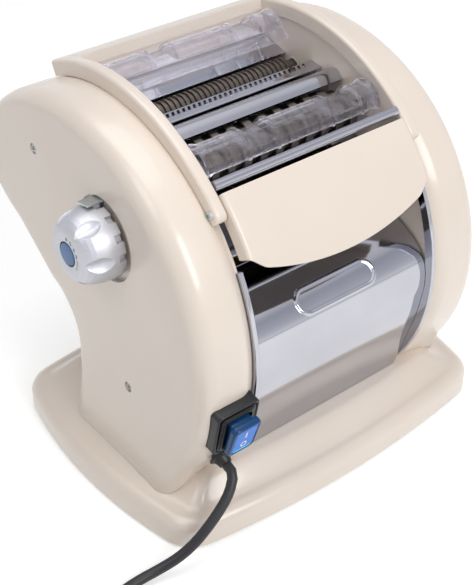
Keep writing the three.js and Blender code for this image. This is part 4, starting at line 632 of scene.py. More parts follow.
def cheek_outer(z):
    """The cheek's half width at height z, with the flare 6 e^((36.5 - z) / 15) at its foot."""
    lean = DRAFT * (CHEEK_TOP - z) / (CHEEK_TOP - FOOT_Z)
    return CHEEK_HALF + lean + FLARE * np.exp(np.minimum(FOOT_Z - z, 0) / FLARE_FADE)


def runs(pieces, share):
    """Points and outward normals at equal shares of the length of a chain of arcs and lines."""
    lengths = np.array([piece[0] for piece in pieces])
    left = share * lengths.sum()
    points, normals = np.zeros((len(share), 2)), np.zeros((len(share), 2))
    start = 0
    for i, (length, at) in enumerate(pieces):
        last = i == len(pieces) - 1
        inside = (left >= start) & ((left <= start + length) | last)
        points[inside], normals[inside] = at(np.clip((left[inside] - start) / length, 0, 1))
        start += length
    return points, normals


def arc_run(y, z, r, t0, t1, out=1):
    """A chain's arc of radius r from turn t0 to t1, with normals out or in."""
    def at(s):
        turn = t0 + (t1 - t0) * s
        return polar(y, z, r, turn), polar(0, 0, out, turn)
    return abs(math.radians(t1 - t0)) * r, at


def line_run(a, b, normal):
    """A chain's straight line from a to b."""
    a, b = np.array(a, float), np.array(b, float)
    return np.linalg.norm(b - a), lambda s: (a + (b - a) * s[:, None], np.tile(normal, (len(s), 1)))


def cheek_grid(inset, x_in, rows=120, lip=8, curve=16, side=8):
    """The cheek's skin: row by row from the foot to the tip, each from the front lip to the rear lip."""
    share = 0.998 * (1 - (1 - np.arange(rows + 1) / rows) ** 1.25)
    foot = 180 + math.degrees(math.asin((ARC_Z - FOOT_Z) / (CHEEK_ARC - inset)))
    front, normal = runs([arc_run(ARC_Y, ARC_Z, CHEEK_ARC - inset, foot, HEAD_TURN),
                          arc_run(*HEAD, HEAD_R - inset, HEAD_TURN, TIP_TURN)], share)
    rear, rear_normal = runs([line_run((REAR_Y - inset, FOOT_Z), (REAR_Y - inset, NECK[1]), (1, 0)),
                              arc_run(*NECK, NECK_R + inset, 180, NECK_TURN, -1),
                              arc_run(*HEAD, HEAD_R - inset, NECK_TURN - 180, TIP_TURN)], share)
    apart = np.linalg.norm(rear - front, axis=1, keepdims=True)
    across = (rear - front) / apart
    rounding = EDGE_ROUND - inset
    reach = np.minimum(rounding, apart[:, 0] / 2)
    most = np.arccos(1 - reach / rounding)
    halves = []
    for tip, n, sign in ((front, normal, 1), (rear, rear_normal, -1)):
        swell = crown(n[:, 0])
        far = np.linspace(0, 1, lip + 1)
        x = np.where(far == 0, x_in, CHEEK_IN + LIP_WIDE * far)
        rise = swell[:, None, None] * np.sin(far * np.pi / 2)[None, :, None]
        edge = tip[:, None] - sign * rise * across[:, None]
        first = with_x(x, edge)
        turn = most[:, None] * np.linspace(0, 1, curve + 1)[None, 1:]
        round_edge = edge[:, -1:] + sign * rounding * (1 - np.cos(turn))[..., None] * across[:, None]
        x = cheek_outer(round_edge[..., 1]) - inset - rounding + rounding * np.sin(turn)
        halves.append(np.concatenate([first, with_x(x, round_edge)], axis=1))
    t = np.linspace(0, 1, side + 1)[None, 1:-1, None]
    middle = halves[0][:, -1:] * (1 - t) + halves[1][:, -1:] * t
    grid = np.concatenate([halves[0], middle, halves[1][:, ::-1]], axis=1)
    drop = FOOT_Z - SEAM - plinth_height(grid[..., 0], grid[..., 1])
    grid[..., 2] -= np.maximum(drop, 0) * smooth(1 - (grid[..., 2] - FOOT_Z) / SLOPE_FADE)
    return grid


def combine(piece, tools, operation="DIFFERENCE", crossing=False):
    """Cuts tool bodies out of the piece, or joins them to it. Crossing: its own bodies cross too."""
    tool = placed("tool", solid_mesh("tool", *several(*tools), weld=False))
    cut = piece.modifiers.new("cut", "BOOLEAN")
    cut.operation, cut.solver, cut.object, cut.use_self = operation, "EXACT", tool, crossing
    made = bpy.data.meshes.new_from_object(piece.evaluated_get(bpy.context.evaluated_depsgraph_get()))
    piece.modifiers.clear()
    piece.data = made
    bpy.data.objects.remove(tool)
    made.shade_smooth()
    made.set_sharp_from_angle(angle=SHARP)


def rod_x(y, z, r, x0, x1, sides=64):
    """A plain rod along X, as a tool or a body."""
    return turned([(x0, r), (x1, r)], y, z, sides)


def through(x, turn, wide, high, corner):
    """A closed tool that stands on the cheek's front and reaches through its wall."""
    return tube(on_cheek(x, turn, stations([(wide, high, corner, -30), (wide, high, corner, 20)])))


SCREWS = ((78.3, 220.7), (-22.5, 86.2))
KNOB_Y, KNOB_Z, KNOB_PLANE = -2.5, 192.6, 117.7429
SWITCH = (-98.5, 191.5)
cheek_body = shell(cheek_grid(0, CHEEK_IN), cheek_grid(3, CHEEK_IN), caps=(False, True))
right_cheek = finish_mesh("right_cheek_shell", cheek_body, enamel, "right_cheek")
left_cheek = finish_mesh("left_cheek_shell", mirror_x(cheek_body), enamel, "left_cheek")
wells = [rod_x(y, z, 3.9, float(cheek_outer(z)) - 1.5, 140) for y, z in SCREWS]
wells += [rod_x(y, z, 2.3, 90, 125) for y, z in SCREWS]
combine(right_cheek, wells)
combine(left_cheek, [rod_x(KNOB_Y, KNOB_Z, 32, -KNOB_PLANE + 3, -KNOB_PLANE - 0.3, 96)], "UNION")
combine(left_cheek, [mirror_x(well) for well in wells] + [
    rod_x(KNOB_Y, KNOB_Z, 29, -KNOB_PLANE, -150, 128), rod_x(KNOB_Y, KNOB_Z, 8.1, -100, -KNOB_PLANE - 1),
    through(*SWITCH, 33.6, 37.6, 4.3), through(GLAND_X, GLAND_TURN, 11, 11, 5.4)])
print("cheeks", len(left_cheek.data.polygons), "faces")

# %% [markdown]
# The top frame's two rails are channels that follow the arc, and a cross rail joins them at the back.
# The rail's section is swept round the arc, and its outer wall ends just above the swelling cheek.

# %% Top frame, visor and trims
RAIL_IN, RAIL_OUT, RAIL_TOP, RAIL_FOOT = 76, 85, 151.65, 140.6
RAIL_REAR, RAIL_FRONT, END_TURN, END_DROP = 65, 139, 2, 4.5
FRAME_SCREW = (-63.8739, 225.8224)
VISOR_HALF, VISOR_R, VISOR_TURN, VISOR_FOOT, VISOR_SKIN = 75.7, 153.4, 133.2, 142.8, 1.5


def rail_section(turn):
    """The rail's channel as (x, radius) points. Its outer wall follows the swelling cheek."""
    foot = 140.3 + float(crown(math.cos(math.radians(turn)))) * math.sin(math.radians(36))
    inner = 0.25 + 2.2 * float(smooth((turn - 74.5) / 2))
    past = max(turn - RAIL_FRONT + END_TURN, 0) / END_TURN
    top = RAIL_TOP - END_DROP * (1 - math.sqrt(1 - past ** 2))
    return np.concatenate([
        [(RAIL_OUT, foot)], polar(82.4, top - 2.6, 2.6, np.linspace(0, 90, 9)),
        polar(RAIL_IN + inner, top - inner, inner, np.linspace(90, 180, 9)),
        [(RAIL_IN, RAIL_FOOT), (77.6, RAIL_FOOT), (77.6, top - 1.6), (83.4, top - 2.1), (83.4, foot)]])


def swept(sections, turns, side):
    """Sections in (x, radius), one for each turn, set round the big arc on one side."""
    return tube(np.stack([with_x(side * section[:, 0], polar(ARC_Y, ARC_Z, section[:, 1], turn))
                          for section, turn in zip(sections, turns)]))


def arc_band(inner, outer, t0, t1, half, steps=4):
    """A band between two radii of the big arc, from turn t0 to t1, drawn out across the machine."""
    turn = np.linspace(t0, t1, steps)
    return along_x(np.concatenate([polar(ARC_Y, ARC_Z, outer, turn), polar(ARC_Y, ARC_Z, inner, turn[::-1])]),
                   -half, half)


ease = 1 - np.sin(np.linspace(0.1, 1, 10) * np.pi / 2)
turns = np.append(np.linspace(RAIL_REAR, RAIL_FRONT - END_TURN, 72), RAIL_FRONT - END_TURN * ease)
sections = [rail_section(turn) for turn in turns]
rails = [swept(sections, turns, side) for side in (1, -1)]
cross = [arc_band(150.1, RAIL_TOP, RAIL_REAR, 74, RAIL_IN, 12), arc_band(144, 151, 73.4, 74, RAIL_IN),
         arc_band(141.9, 151, RAIL_REAR, RAIL_REAR + 0.6, 84), arc_band(127, 151, 72.5, 73.1, 76.8)]
top_frame = finish_mesh("top_frame_rails", several(*rails, *cross), enamel, "top_frame")
combine(top_frame, [rod_x(*FRAME_SCREW, 1.6, s * 80, s * 90, 24) for s in (-1, 1)], crossing=True)


def visor_edge(x):
    """The turn at which the visor ends at x: its lower edge smiles and lifts at both corners."""
    lift = smooth((np.abs(x) - VISOR_HALF + 12) / 12)
    z = 200 - 14 * (1 - (x / VISOR_HALF) ** 2) + 4 * lift
    return 180 - np.degrees(np.arcsin((z - ARC_Z) / VISOR_R))


def visor_grid(inset):
    """The visor's skin: a section like a bridge, run from the opening down to the visor's edge."""
    half, radius, corner = VISOR_HALF - inset, VISOR_R - inset, 2.4 - inset
    right = np.concatenate([np.column_stack([np.linspace(0, half - corner, 40), np.full(40, radius)]),
                            polar(half - corner, radius - corner, corner, np.linspace(80, 0, 8)),
                            [(half, VISOR_FOOT)]])
    section = np.concatenate([(right * [-1, 1])[:0:-1], right])
    turn = VISOR_TURN + (visor_edge(section[:, 0])[None] - VISOR_TURN) * np.linspace(0, 1, 40)[:, None]
    return with_x(section[:, 0], polar(ARC_Y, ARC_Z, section[:, 1][None], turn))


finish_mesh("curved_visor", shell(visor_grid(0), visor_grid(VISOR_SKIN)), enamel, "front_visor")
bead = np.concatenate([[(76.3, 137), (77.2, 137), (77.2, 140.1), (79.4, 140.1)],
                       polar(78.2, 142.5, 1.4, np.linspace(-20, 100, 12)),
                       polar(77.3, 142.9, 1.05, np.linspace(100, 180, 8))])
turns = np.linspace(151.8, 216.2, 90)
for side, name in ((-1, "left"), (1, "right")):
    finish_mesh(name + "_edge_strip", swept([bead] * len(turns), turns, side), chrome,
                name + "_trim")
print("top frame", len(top_frame.data.polygons), "faces")

# %% [markdown]
# The front plate is one bright sheet with a nose. Its line is a smooth curve through a few places, and
# a pressed frame stands on it: a stadium whose rim is the distance from a short straight line.

# %% Front plate
NOSE = np.array([[0, 0], [0.2, 0.11], [0.55, 0.3], [0.8, 0.45], [0.94, 0.584], [1, 0.66], [0.99, 0.728],
                 [0.92, 0.785], [0.8, 0.836], [0.43, 0.9], [-0.05, 0.947], [-0.52, 0.98], [-1, 1]])
NOSE_FOOT, NOSE_OUT, NOSE_HIGH, PLATE_SKIN = (-75, 36.3), 21, 127, 1.2
FRAME_AT, FRAME_HALF, FRAME_R, FRAME_RISE, FRAME_RIM = (-88, 150), 24.5, 8.5, 0.85, 1.35
line = smooth_path(with_x(0, NOSE * [-NOSE_OUT, NOSE_HIGH] + NOSE_FOOT), 0.75)[:, 1:]
run = np.gradient(line, axis=0)
run /= np.linalg.norm(run, axis=1, keepdims=True)
normal = np.stack([-run[:, 1], run[:, 0]], axis=-1)
normal *= np.sign(-normal[:1, :1])
down = np.append(0, np.cumsum(np.linalg.norm(np.diff(line, axis=0), axis=1)))
centre = down[np.argmin(np.linalg.norm(line - FRAME_AT, axis=1))]
x = np.linspace(-RAIL_IN, RAIL_IN, 229)
away = np.hypot(np.maximum(np.abs(x)[None] - FRAME_HALF, 0), (down - centre)[:, None])
rim = FRAME_RISE * smooth((FRAME_RIM - np.abs(away - FRAME_R)) / 0.8)
skins = [with_x(x, line[:, None] + lift[..., None] * normal[:, None])
         for lift in (rim, np.full(rim.shape, -PLATE_SKIN))]
front_plate = finish_mesh("nose_plate", shell(*skins), chrome, "front_plate",
                          sharp=math.radians(60))
print("nose plate", len(front_plate.data.polygons), "faces")

# %% [markdown]
# The guides are sheets with rolled bends. Each is a line in (y, z) with its corners rounded, thickened
# to one side and drawn out across the machine.

# %% Sheet guides
SHEET, SHEET_HALF, DECK_HALF = 1.2, 77.2, 75.5
GUIDES = {
    "centre_hood": ([(11.8, 209), (11.8, 243.5), (7.9, 245.4), (4, 246), (0.5, 244.05), (-3, 240.9)],
                    3, SHEET),
    "rear_guide": ([(57, 237.5), (66, 239.8), (94, 247.5)], 4, SHEET),
    "front_guide": ([(-62, 187), (2, 214)], 1, -SHEET),
    "pasta_tray": ([(66, 224), (66, 172), (-20, 168), (-50, 167)], 24, -SHEET),
}


def sheet(line, thick=SHEET, half=SHEET_HALF):
    """A sheet across the machine whose section is the line with its thickness."""
    return along_x(sheet_outline(line, thick), -half, half, 8)


for name, (corners, bend, thick) in GUIDES.items():
    finish_mesh("sheet_" + name, sheet(rounded_line(corners, bend, 10), thick), chrome, name)

bead = rod_x(-55.5, 238.2, 3.3, -DECK_HALF, DECK_HALF, 40)
deck = sheet(rounded_line([(-53, 236.4), (-44, 229), (-36, 223)], 3, 8), half=DECK_HALF)
finish_mesh("front_deck_sheet", several(bead, deck), chrome, "front_deck")

COMB_SLOTS, COMB_WIDE = 32, 138
comb_line = rounded_line([(29, 243), (24.5, 242), (18.4, 242), (18.4, 209)], 1.6, 8)
comb = finish_mesh("scraper_comb_sheet", sheet(comb_line), chrome, "scraper_comb")
slots = []
for x in (np.arange(COMB_SLOTS) + 0.5) * COMB_WIDE / COMB_SLOTS - COMB_WIDE / 2:
    plan = [(x - 1.3, 24.3), (x + 0.9, 24.3), (x + 2.4, 27.9), (x + 0.2, 27.9)]
    slots.append(tube(np.stack([with_z(plan, z) for z in (238, 247)])))
combine(comb, slots)

cover_line = np.concatenate([polar(ARC_Y, ARC_Z, CHEEK_ARC - 1.5, np.linspace(64, HEAD_TURN, 8)),
                             polar(*HEAD, HEAD_R - 1.5, np.linspace(HEAD_TURN, -72.18, 60)[1:]),
                             polar(*NECK, NECK_R + 1.5, np.linspace(107.82, 180, 30)[1:]), [(42.5, 36)]])
finish_mesh("rear_cover_sheet", sheet(cover_line, -SHEET), chrome, "rear_cover")
print("comb", len(comb.data.polygons), "faces")

# %% [markdown]
# The rollers are ground steel drums. A fine cutter is a drum with rounded ribs, and a wide cutter has
# flat teeth that reach into the gaps of the other. Both carry a gear at their right end.

# %% Rollers and cutters


def gear(y, z, teeth, phase, module, x0, x1):
    """A spur gear: root and tip points for each tooth, drawn out along X."""
    pitch = module * teeth / 2
    tip, root = pitch + module * 0.8, pitch - module * 1.2
    half = (math.pi * module / 2 - 0.5) / 2
    root_half = math.degrees((half + module * 1.2 * 0.364) / root)
    tip_half = math.degrees((half - module * 0.8 * 0.364) / tip)
    turn = phase + np.arange(teeth) * 360 / teeth
    outline = np.stack([polar(y, z, root, turn - root_half), polar(y, z, tip, turn - tip_half),
                        polar(y, z, tip, turn + tip_half), polar(y, z, root, turn + root_half)], axis=1)
    return along_x(outline.reshape(-1, 2), x0, x1)


def soft_rod(y, z, r, x0, x1, soft=0.6, sides=64):
    """A rod along X with chamfered ends."""
    return turned([(x0, r - soft), (x0 + soft, r), (x1 - soft, r), (x1, r - soft)], y, z, sides)


def cutter(name, drum, y, z, phase):
    """A cutter: its drum, a shaft right through it, and a gear of ten teeth at the right end."""
    shaft = soft_rod(y, z, 4.9, -81.4, 89.5, 0.5, 40)
    node = name[:name.rindex("_")]
    finish_mesh(name, several(drum, shaft, gear(y, z, 10, phase, 1.8, 83, 89)), cutter_steel, node, node)


for name, y, ends in (("roller_a", 24.5, (-81.4, 97)), ("roller_b", KNOB_Y, (-82.6, 89.5))):
    finish_mesh(name + "_drum", several(soft_rod(y, KNOB_Z, 13, -74.5, 74.5, 0.8, 96),
                                         soft_rod(y, KNOB_Z, 5, *ends, 0.5, 40)), ground, name, name)

x = np.linspace(-69, 69, 1105)
for name, y, phase, shift in (("rear", 49, 279.0137, 0), ("front", 31, 350.9863, 2.1)):
    girth = 7.1 + 1.55 * smooth(0.5 + 0.9 * np.cos(2 * np.pi * (x + shift) / 4.2))
    cutter(f"fine_cutter_{name}_ribs", turned(np.column_stack([x, girth]), y, 231, 40), y, 231, phase)
TOOTH = [(-3.25, 7.2), (-3.15, 9.9), (-2.7, 10.35), (2.7, 10.35), (3.15, 9.9), (3.25, 7.2)]
for name, y, phase, shift in (("rear", -4, 338.0236, -3.25), ("front", -22, 363.9764, 3.25)):
    teeth = [(13 * (i - 4.5) + shift + dx, r) for i in range(10) for dx, r in TOOTH]
    profile = [(-68, 6.9), (-67.8, 7.2), *teeth, (67.8, 7.2), (68, 6.9)]
    cutter(f"wide_cutter_{name}_teeth", turned(profile, y, 228, 72), y, 228, phase)

# %% [markdown]
# A guard is a clear tube, open along its underside. Flange rings stand at its ends and beside each cup,
# and in a cup the tube drops to a flat floor. A height limit on both skins makes that saddle.

# %% Clear guards


def guard_skin(y, z, t0, t1, cups, inner):
    """One skin of a guard: radius 12, or 10 inside, with rings of 13.4, cut level inside the cups."""
    edge, ring = 0.12, 1.6
    marks = [-71, -69.4 - edge, -69.4, 69.4, 69.4 + edge, 71]
    for a, b in cups:
        marks += [a - edge, a, a + ring, a + ring + edge, b - ring - edge, b - ring, b, b + edge]
    x = np.unique(np.concatenate([marks, np.arange(-70, 71, 4)]))
    in_ring = np.abs(x) >= 69.4
    in_cup = np.zeros(len(x), bool)
    for a, b in cups:
        in_ring |= ((x >= a) & (x <= a + ring)) | ((x >= b - ring) & (x <= b))
        in_cup |= (x >= a + ring + edge / 2) & (x <= b - ring - edge / 2)
    turn = np.linspace(t0, t1, 73)
    r = np.where(in_ring, 13.4, 12)[:, None] if not inner else np.full((len(x), 1), 10.0)
    spot = polar(y, z, r, turn[None])
    floor = z + (5 if not inner else 3.2)
    spot[..., 1] = np.where(in_cup[:, None], np.minimum(spot[..., 1], floor), spot[..., 1])
    return with_x(x[:, None], spot)


GUARDS = (("front_guard", -32, 240, 2, 190, ((-39, -14), (30, 57))),
          ("rear_guard", 66, 256, -30, 157, ((-38, -16), (31, 55))))
for name, y, z, t0, t1, cups in GUARDS:
    bodies = [shell(guard_skin(y, z, t0, t1, cups, False), guard_skin(y, z, t0, t1, cups, True))]
    for side in (-1, 1):
        disc = polar(y, z, 9.9, np.linspace(t0, t1, 48))
        bodies.append(along_x(disc, side * 69.2, side * 70.9))
        bodies.append(turned([(side * 71.05, 3.2), (side * 73, 3.2), (side * 73, 1.6), (side * 79.1, 1.6)],
                             y, z, 32))
    if name == "rear_guard":
        skirt = np.array([polar(y, z, 12.1, 150), (46, 255.2)])
        bodies.append(along_x(sheet_outline(skirt, 0.9), -71, 71))
    finish_mesh("clear_" + name, several(*bodies), clear, name, name)
print("guards", len(GUARDS))

# %% [markdown]
# The knob is a dome on a short skirt. Its radius is a function of depth and turn: twelve square
# notches break the skirt, and six pockets shaped like eyes are scooped out of the dome.

# %% Knob
KNOB_BACK, NOTCHES, NOTCH_DEEP, POCKET_DEEP = 121.043, 12, 2.4, 3.4
POCKET_HALF, POCKET_REACH, POCKET_AT = 5.4, 8.6, 17.2
deep = np.concatenate([np.linspace(0, 5, 6), [5.05], np.linspace(5.4, 9, 6),
                       9 + 18 * np.sin(np.linspace(0.03, 1, 60) * np.pi / 2)])
profile = np.interp(deep, [0, 9, 12, 16, 19, 22, 24.5, 26.2, 27],
                    [25, 25, 24.8, 24.2, 23.4, 22, 20, 17.6, 15.2])
turn = np.arange(480) * 0.75
radius = np.repeat(profile[:, None], len(turn), axis=1)
beat = np.abs((turn * NOTCHES / 360) % 1 - 0.5) * 2
radius -= NOTCH_DEEP * smooth((beat - 0.62) / 0.05)[None] * smooth((5.03 - deep) / 0.04)[:, None]
across = np.radians((turn + 30) % 60 - 30)[None] * radius / POCKET_HALF
lengthwise = (deep[:, None] - POCKET_AT) / POCKET_REACH
inside = np.clip(1 - np.abs(across) ** 1.6 - np.abs(lengthwise) ** 1.7, 0, 1)
radius -= POCKET_DEEP * inside ** 0.75
seat = [(14, 27), (9.2, 27), (8.5, 26.7), (8.5, 24)]
radius = np.concatenate([radius] + [np.full((1, len(turn)), r) for r, depth in seat])
deep = np.append(deep, [depth for r, depth in seat])
grid = with_x(-(KNOB_BACK + deep)[:, None], polar(KNOB_Y, KNOB_Z, radius, turn[None]))
knob = finish_mesh("thickness_knob", tube(grid), lacquer, "knob", "knob", sharp=math.radians(28))
button_profile = [(-145.4, 7.6), (-147.6, 7.6), (-148.1, 7.2), (-148.34, 6.2)]
finish_mesh("knob_button_cap", turned(button_profile, KNOB_Y, KNOB_Z, 64), blue_satin, "knob_button", "knob")


def print_text(name, text, size, place, material, body, thick=0.08):
    """Letters as a thin closed solid. place takes flat (u, v, w) millimetres to drawing millimetres."""
    data = bpy.data.curves.new(name, "FONT")
    data.body, data.size, data.extrude = text, size, thick / 2
    data.align_x, data.align_y = "CENTER", "CENTER"
    letters = placed(name, data)
    mesh = bpy.data.meshes.new_from_object(letters.evaluated_get(bpy.context.evaluated_depsgraph_get()))
    bpy.data.objects.remove(letters)
    co = np.zeros(len(mesh.vertices) * 3)
    mesh.vertices.foreach_get("co", co)
    faces = [list(face.vertices) for face in mesh.polygons]
    return finish_mesh(name, (place(co.reshape(-1, 3)), faces), material, body=body)


FIGURE_RING, FIGURE_HIGH, FACE_X = 11.6, 4.2, 148.1
for i, digit in enumerate("123456"):
    y, z = polar(KNOB_Y, KNOB_Z, FIGURE_RING, 205 - 22 * i)
    print_text("knob_digit_" + digit, digit, FIGURE_HIGH, lambda p, y=y, z=z: with_x(
        -(FACE_X + p[:, 2]), [y, z] + p[:, :2] * [-1, 1]), dark_ink, "knob")
print("knob", len(knob.data.polygons), "faces")

# %% [markdown]
# The switch stands proud of the left cheek's front. A black frame with a bevelled rim holds a rocker:
# a deep blue cap, a bright blue lens set into it, and the marks I and O printed in white. The lens and
# a thin cyan strip at the rocker's lower edge carry a faint painted glow, as no lamp in the switch is lit.

# %% Switch and gland
bezel_rows = [(29, 33, 3.7, -20), (29, 33, 3.7, -6.1), (33, 37, 4, -6), (33, 37, 4, 3.5),
              (32.6, 36.6, 3.9, 4.3), (31.8, 35.8, 3.6, 4.85), (30.8, 34.8, 3.3, 5), (29.6, 33.6, 3.2, 4.8),
              (28.4, 32.4, 3, 3.8), (27.6, 31.6, 2.9, 3.7), (27.3, 31.3, 2.9, 5), (25.6, 29.6, 2.7, 5.1),
              (25.2, 29.2, 2.7, 5.9), (23.4, 28, 2.5, 6), (23, 27.6, 2.4, 6.5), (19.4, 25.4, 2.2, 6.5),
              (19.2, 25.2, 2.2, -4), (25, 29, 2.6, -4.5), (25, 29, 2.6, -20)]
ROCKER_AXIS, ROCKER_TILT, FACE_W = -2, 7, 13.86


def pin(r, half):
    """Rings of a rod across the switch, on the line about which the rocker turns."""
    return np.stack([with_x(u, polar(0, ROCKER_AXIS, r, np.arange(24) * 15)) for u in (-half, half)])


def tilted(local):
    """Rocker points, turned 7 degrees about its pins, then set on the cheek."""
    u, v, w = np.moveaxis(np.asarray(local, float), -1, 0)
    c, s = math.cos(math.radians(ROCKER_TILT)), math.sin(math.radians(ROCKER_TILT))
    w = w - ROCKER_AXIS
    return on_cheek(*SWITCH, np.stack([u, v * c - w * s, v * s + w * c + ROCKER_AXIS], axis=-1))


def printed(wide, high, corner, thick, up):
    """A thin pad on the rocker's face, up from its middle."""
    pad = stations([(wide, high, corner, FACE_W), (wide, high, corner, FACE_W + thick)])
    return tube(tilted(pad + [0, up, 0]))


bezel = finish_mesh("switch_frame", hoop(on_cheek(*SWITCH, stations(bezel_rows))), black_nylon,
                    "switch_bezel")
combine(bezel, [tube(on_cheek(*SWITCH, pin(1.8, 14.2)))])
cap_rows = [(17, 22, 2, -8), (17, 22, 2, 8.3), (20, 27, 3.2, 8.5), (21.4, 28.4, 3.8, 8.9), (22, 29, 4, 9.8),
            (22, 29, 4, 11.8), (21.6, 28.6, 3.9, 12.9), (20.6, 27.6, 3.5, 13.7), (19.2, 26.2, 3.1, 14),
            (17.6, 24.6, 2.7, 14), (17.2, 24.2, 2.6, 13.7), (17, 24, 2.5, 13.1)]
cap = several(tube(tilted(stations(cap_rows))), tube(tilted(pin(1.5, 14.1))))
finish_mesh("rocker_cap", cap, blue_rim, "rocker", "rocker")
lens_rows = [(16.8, 23.8, 2.4, 13.15), (16.8, 23.8, 2.4, 13.5), (16, 23, 2.1, 13.85)]
finish_mesh("rocker_lens", tube(tilted(stations(lens_rows))), blue_lens_painted_glow, body="rocker")
# The cyan strip's glow is painted: it is emission, not a lit lamp.
finish_mesh("rocker_painted_glow_edge", printed(13, 1.6, 0.7, 0.12, -10.1), cyan_edge_painted_glow, body="rocker")
finish_mesh("mark_on", printed(1.1, 5.6, 0.5, 0.1, 5), white_ink, body="rocker")
turn = np.arange(48) * 7.5
mark_o = np.stack([with_z(polar(0, -4.8, r, turn) * [0.82, 1], FACE_W + w)
                   for r, w in ((2.9, 0), (2.9, 0.1), (1.9, 0.1), (1.9, 0))])
finish_mesh("mark_off", hoop(tilted(mark_o)), white_ink, body="rocker")

gland_rows = [(5.2, -14), (5.2, 0.4), (7.6, 0.5), (8.1, 0.9), (8.25, 1.6), (8.1, 2.3), (7.6, 2.8), (6.9, 3),
              (6.2, 3.2), (5.8, 3.8), (5.3, 5), (4.8, 6.6), (4.5, 8)]
turn = np.arange(64) * 5.625
gland = np.stack([np.column_stack([polar(0, 0, r, turn), np.full(64, w)]) for r, w in gland_rows])
gland_piece = finish_mesh("cord_entry_gland", tube(on_cheek(GLAND_X, GLAND_TURN, gland)), black_nylon,
                          "cord_gland")
print("switch frame", len(bezel.data.polygons), "faces")

# %% [markdown]
# Screws have domed heads with a cross recess. One profile is turned for all of them, and a cross of
# two thin bars is cut into each head.

# %% Screws
CROSS_HALF = 0.42


def screw(name, y, z, profile, cross_at, side, half, stands_for):
    """A screw along X on one side: a turned profile with a cross cut into its head from cross_at."""
    body = turned([(side * px, r) for px, r in profile], y, z, 40)
    piece = finish_mesh(name, body, zinc, stands_for)
    for u, v in ((half, CROSS_HALF), (CROSS_HALF, half)):
        bar = [(y - u, z - v), (y + u, z - v), (y + u, z + v), (y - u, z + v)]
        combine(piece, [along_x(bar, side * cross_at, side * (cross_at + 8))])


RAIL_BOLT = [(81.9, 1.3), (85, 1.3), (85.01, 2.95), (85.4, 2.9), (86, 2.3), (86.28, 1.4)]
CHEEK_HEAD = [(0, 2), (0.01, 3.55), (0.35, 3.5), (0.9, 2.7), (1.2, 1.5), (1.28, 0.6)]
for side, hand in ((-1, "left"), (1, "right")):
    for (y, z), level in zip(SCREWS, ("upper", "lower")):
        seat = float(cheek_outer(z)) - 1.5
        screw(f"cheek_bolt_{hand}_{level}", y, z, [(77.8, 2)] + [(seat + px, r) for px, r in CHEEK_HEAD],
              seat + 0.3, side, 1.9, f"cheek_screw_{hand}_{level}")
    screw(f"rail_bolt_{hand}", *FRAME_SCREW, RAIL_BOLT, 85.4, side, 1.6, f"frame_screw_{hand}")

# %% [markdown]
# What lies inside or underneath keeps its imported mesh. Doubled points are welded, its edges are
# broken by a small bevel, and it gets the material of the real piece.

# %% Inner pieces
INNER = {
    enamel: ["left_side_plate", "right_side_plate"],
    sheet_steel: ["base_plate", "tie_rod_upper", "tie_rod_lower",
                  "left_plate_bracket", "right_plate_bracket", "motor_mount"],
    gear_steel: ["main_gear", "roller_b_gear", "large_idler", "small_idler", "drive_pinion", "knob_hub"],
    motor_paint: ["motor", "gearbox"], nylon: ["left_bearing_plate", "right_bearing_plate"],
    brass: ["roller_yoke"], zinc: ["index_clip"], rubber: ["rubber_foot_left", "rubber_foot_right"],
}
for material, names in INNER.items():
    for name in names:
        node = nodes[name]
        node.data.materials.clear()
        node.data.materials.append(material)
        weld = node.modifiers.new("weld", "WELD")
        weld.merge_threshold = WELD / 2
        edge = node.modifiers.new("edge", "BEVEL")
        edge.width, edge.segments, edge.limit_method = 0.0003, 2, "ANGLE"
        edge.angle_limit = math.radians(40)
left = [name for name, node in nodes.items() if not node.hide_render and not node.data.materials]
print("inner pieces dressed, without material:", left)


# %% [markdown]
# The set is a plain pale floor under soft studio light. The floor and the white room shine only for
# rays from the camera, through glass or off metal, and the room's grey band gives chrome its depth.

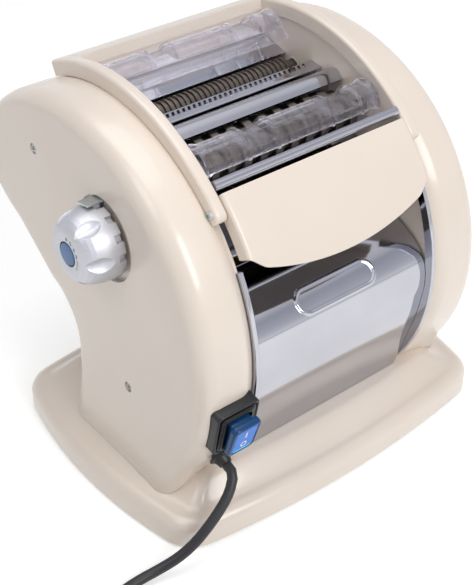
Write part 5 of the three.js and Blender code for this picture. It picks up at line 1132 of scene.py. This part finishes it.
# %% Floor and light
floor_mesh = bpy.data.meshes.new("floor")
floor_mesh.from_pydata([(-6, -6, 0), (6, -6, 0), (6, 6, 0), (-6, 6, 0)], [], [(0, 1, 2, 3)])
placed("floor", floor_mesh)
paper, tree, shader, place = blank("white_studio_paper")
set_shader(tree, shader, Base_Color=mixed(tree, noise(tree, place, 300), "f4f4f4", "f6f6f6"), Roughness=0.9,
           Emission_Color=(1, 1, 1, 1),
           Emission_Strength=reckon(tree, "MULTIPLY", rays(tree, "Camera", "Transmission", "Glossy"), 0.34))
floor_mesh.materials.append(paper)

scene.world = world = bpy.data.worlds.new("studio")
world.use_nodes = True
tree = world.node_tree
place = add(tree, "ShaderNodeTexCoord").outputs["Generated"]
height = add(tree, "ShaderNodeSeparateXYZ", {0: place}).outputs["Z"]
ramp = add(tree, "ShaderNodeValToRGB", {"Fac": spread(tree, height, 0.5, 1.0)})
ramp.color_ramp.elements[0].position = 0.5
for at, shade in ((0.5, "f4f4f6"), (0.68, "d3d4dc"), (0.84, "b4b5c0"), (0.95, "ffffff")):
    stop = ramp.color_ramp.elements[0] if at == 0.5 else ramp.color_ramp.elements.new(at)
    stop.color = linear(shade)
room = tree.nodes["Background"]
room.inputs["Color"].default_value = (1, 1, 1, 1)
fill(tree, room, {"Strength": spread(tree, rays(tree, "Camera", "Transmission"), 0.36, 1.0)})
sky = add(tree, "ShaderNodeBackground", {"Color": ramp.outputs[0], "Strength": 1.1})
surface(tree, "World Output", rays(tree, "Glossy"), room, sky)


def lamp(name, place, aim, size, power):
    """A square soft lamp at place that faces aim."""
    data = bpy.data.lights.new(name, "AREA")
    data.shape, data.size, data.energy = "SQUARE", size, power
    made = placed(name, data)
    made.location = place
    made.rotation_euler = (Vector(aim) - Vector(place)).to_track_quat("-Z", "Y").to_euler()


lamp("key_lamp", (0.05, -1.5, 1.15), (0, 0, 0.12), 0.9, 15)
lamp("top_lamp", (0.0, 0.2, 1.6), (0, 0, 0.1), 1.2, 9)
lamp("side_lamp", (-0.62, -0.12, 0.78), (-0.1, 0, 0.22), 0.3, 0.7)
scene.view_settings.view_transform = "Standard"
print("lamps", len(bpy.data.lights))
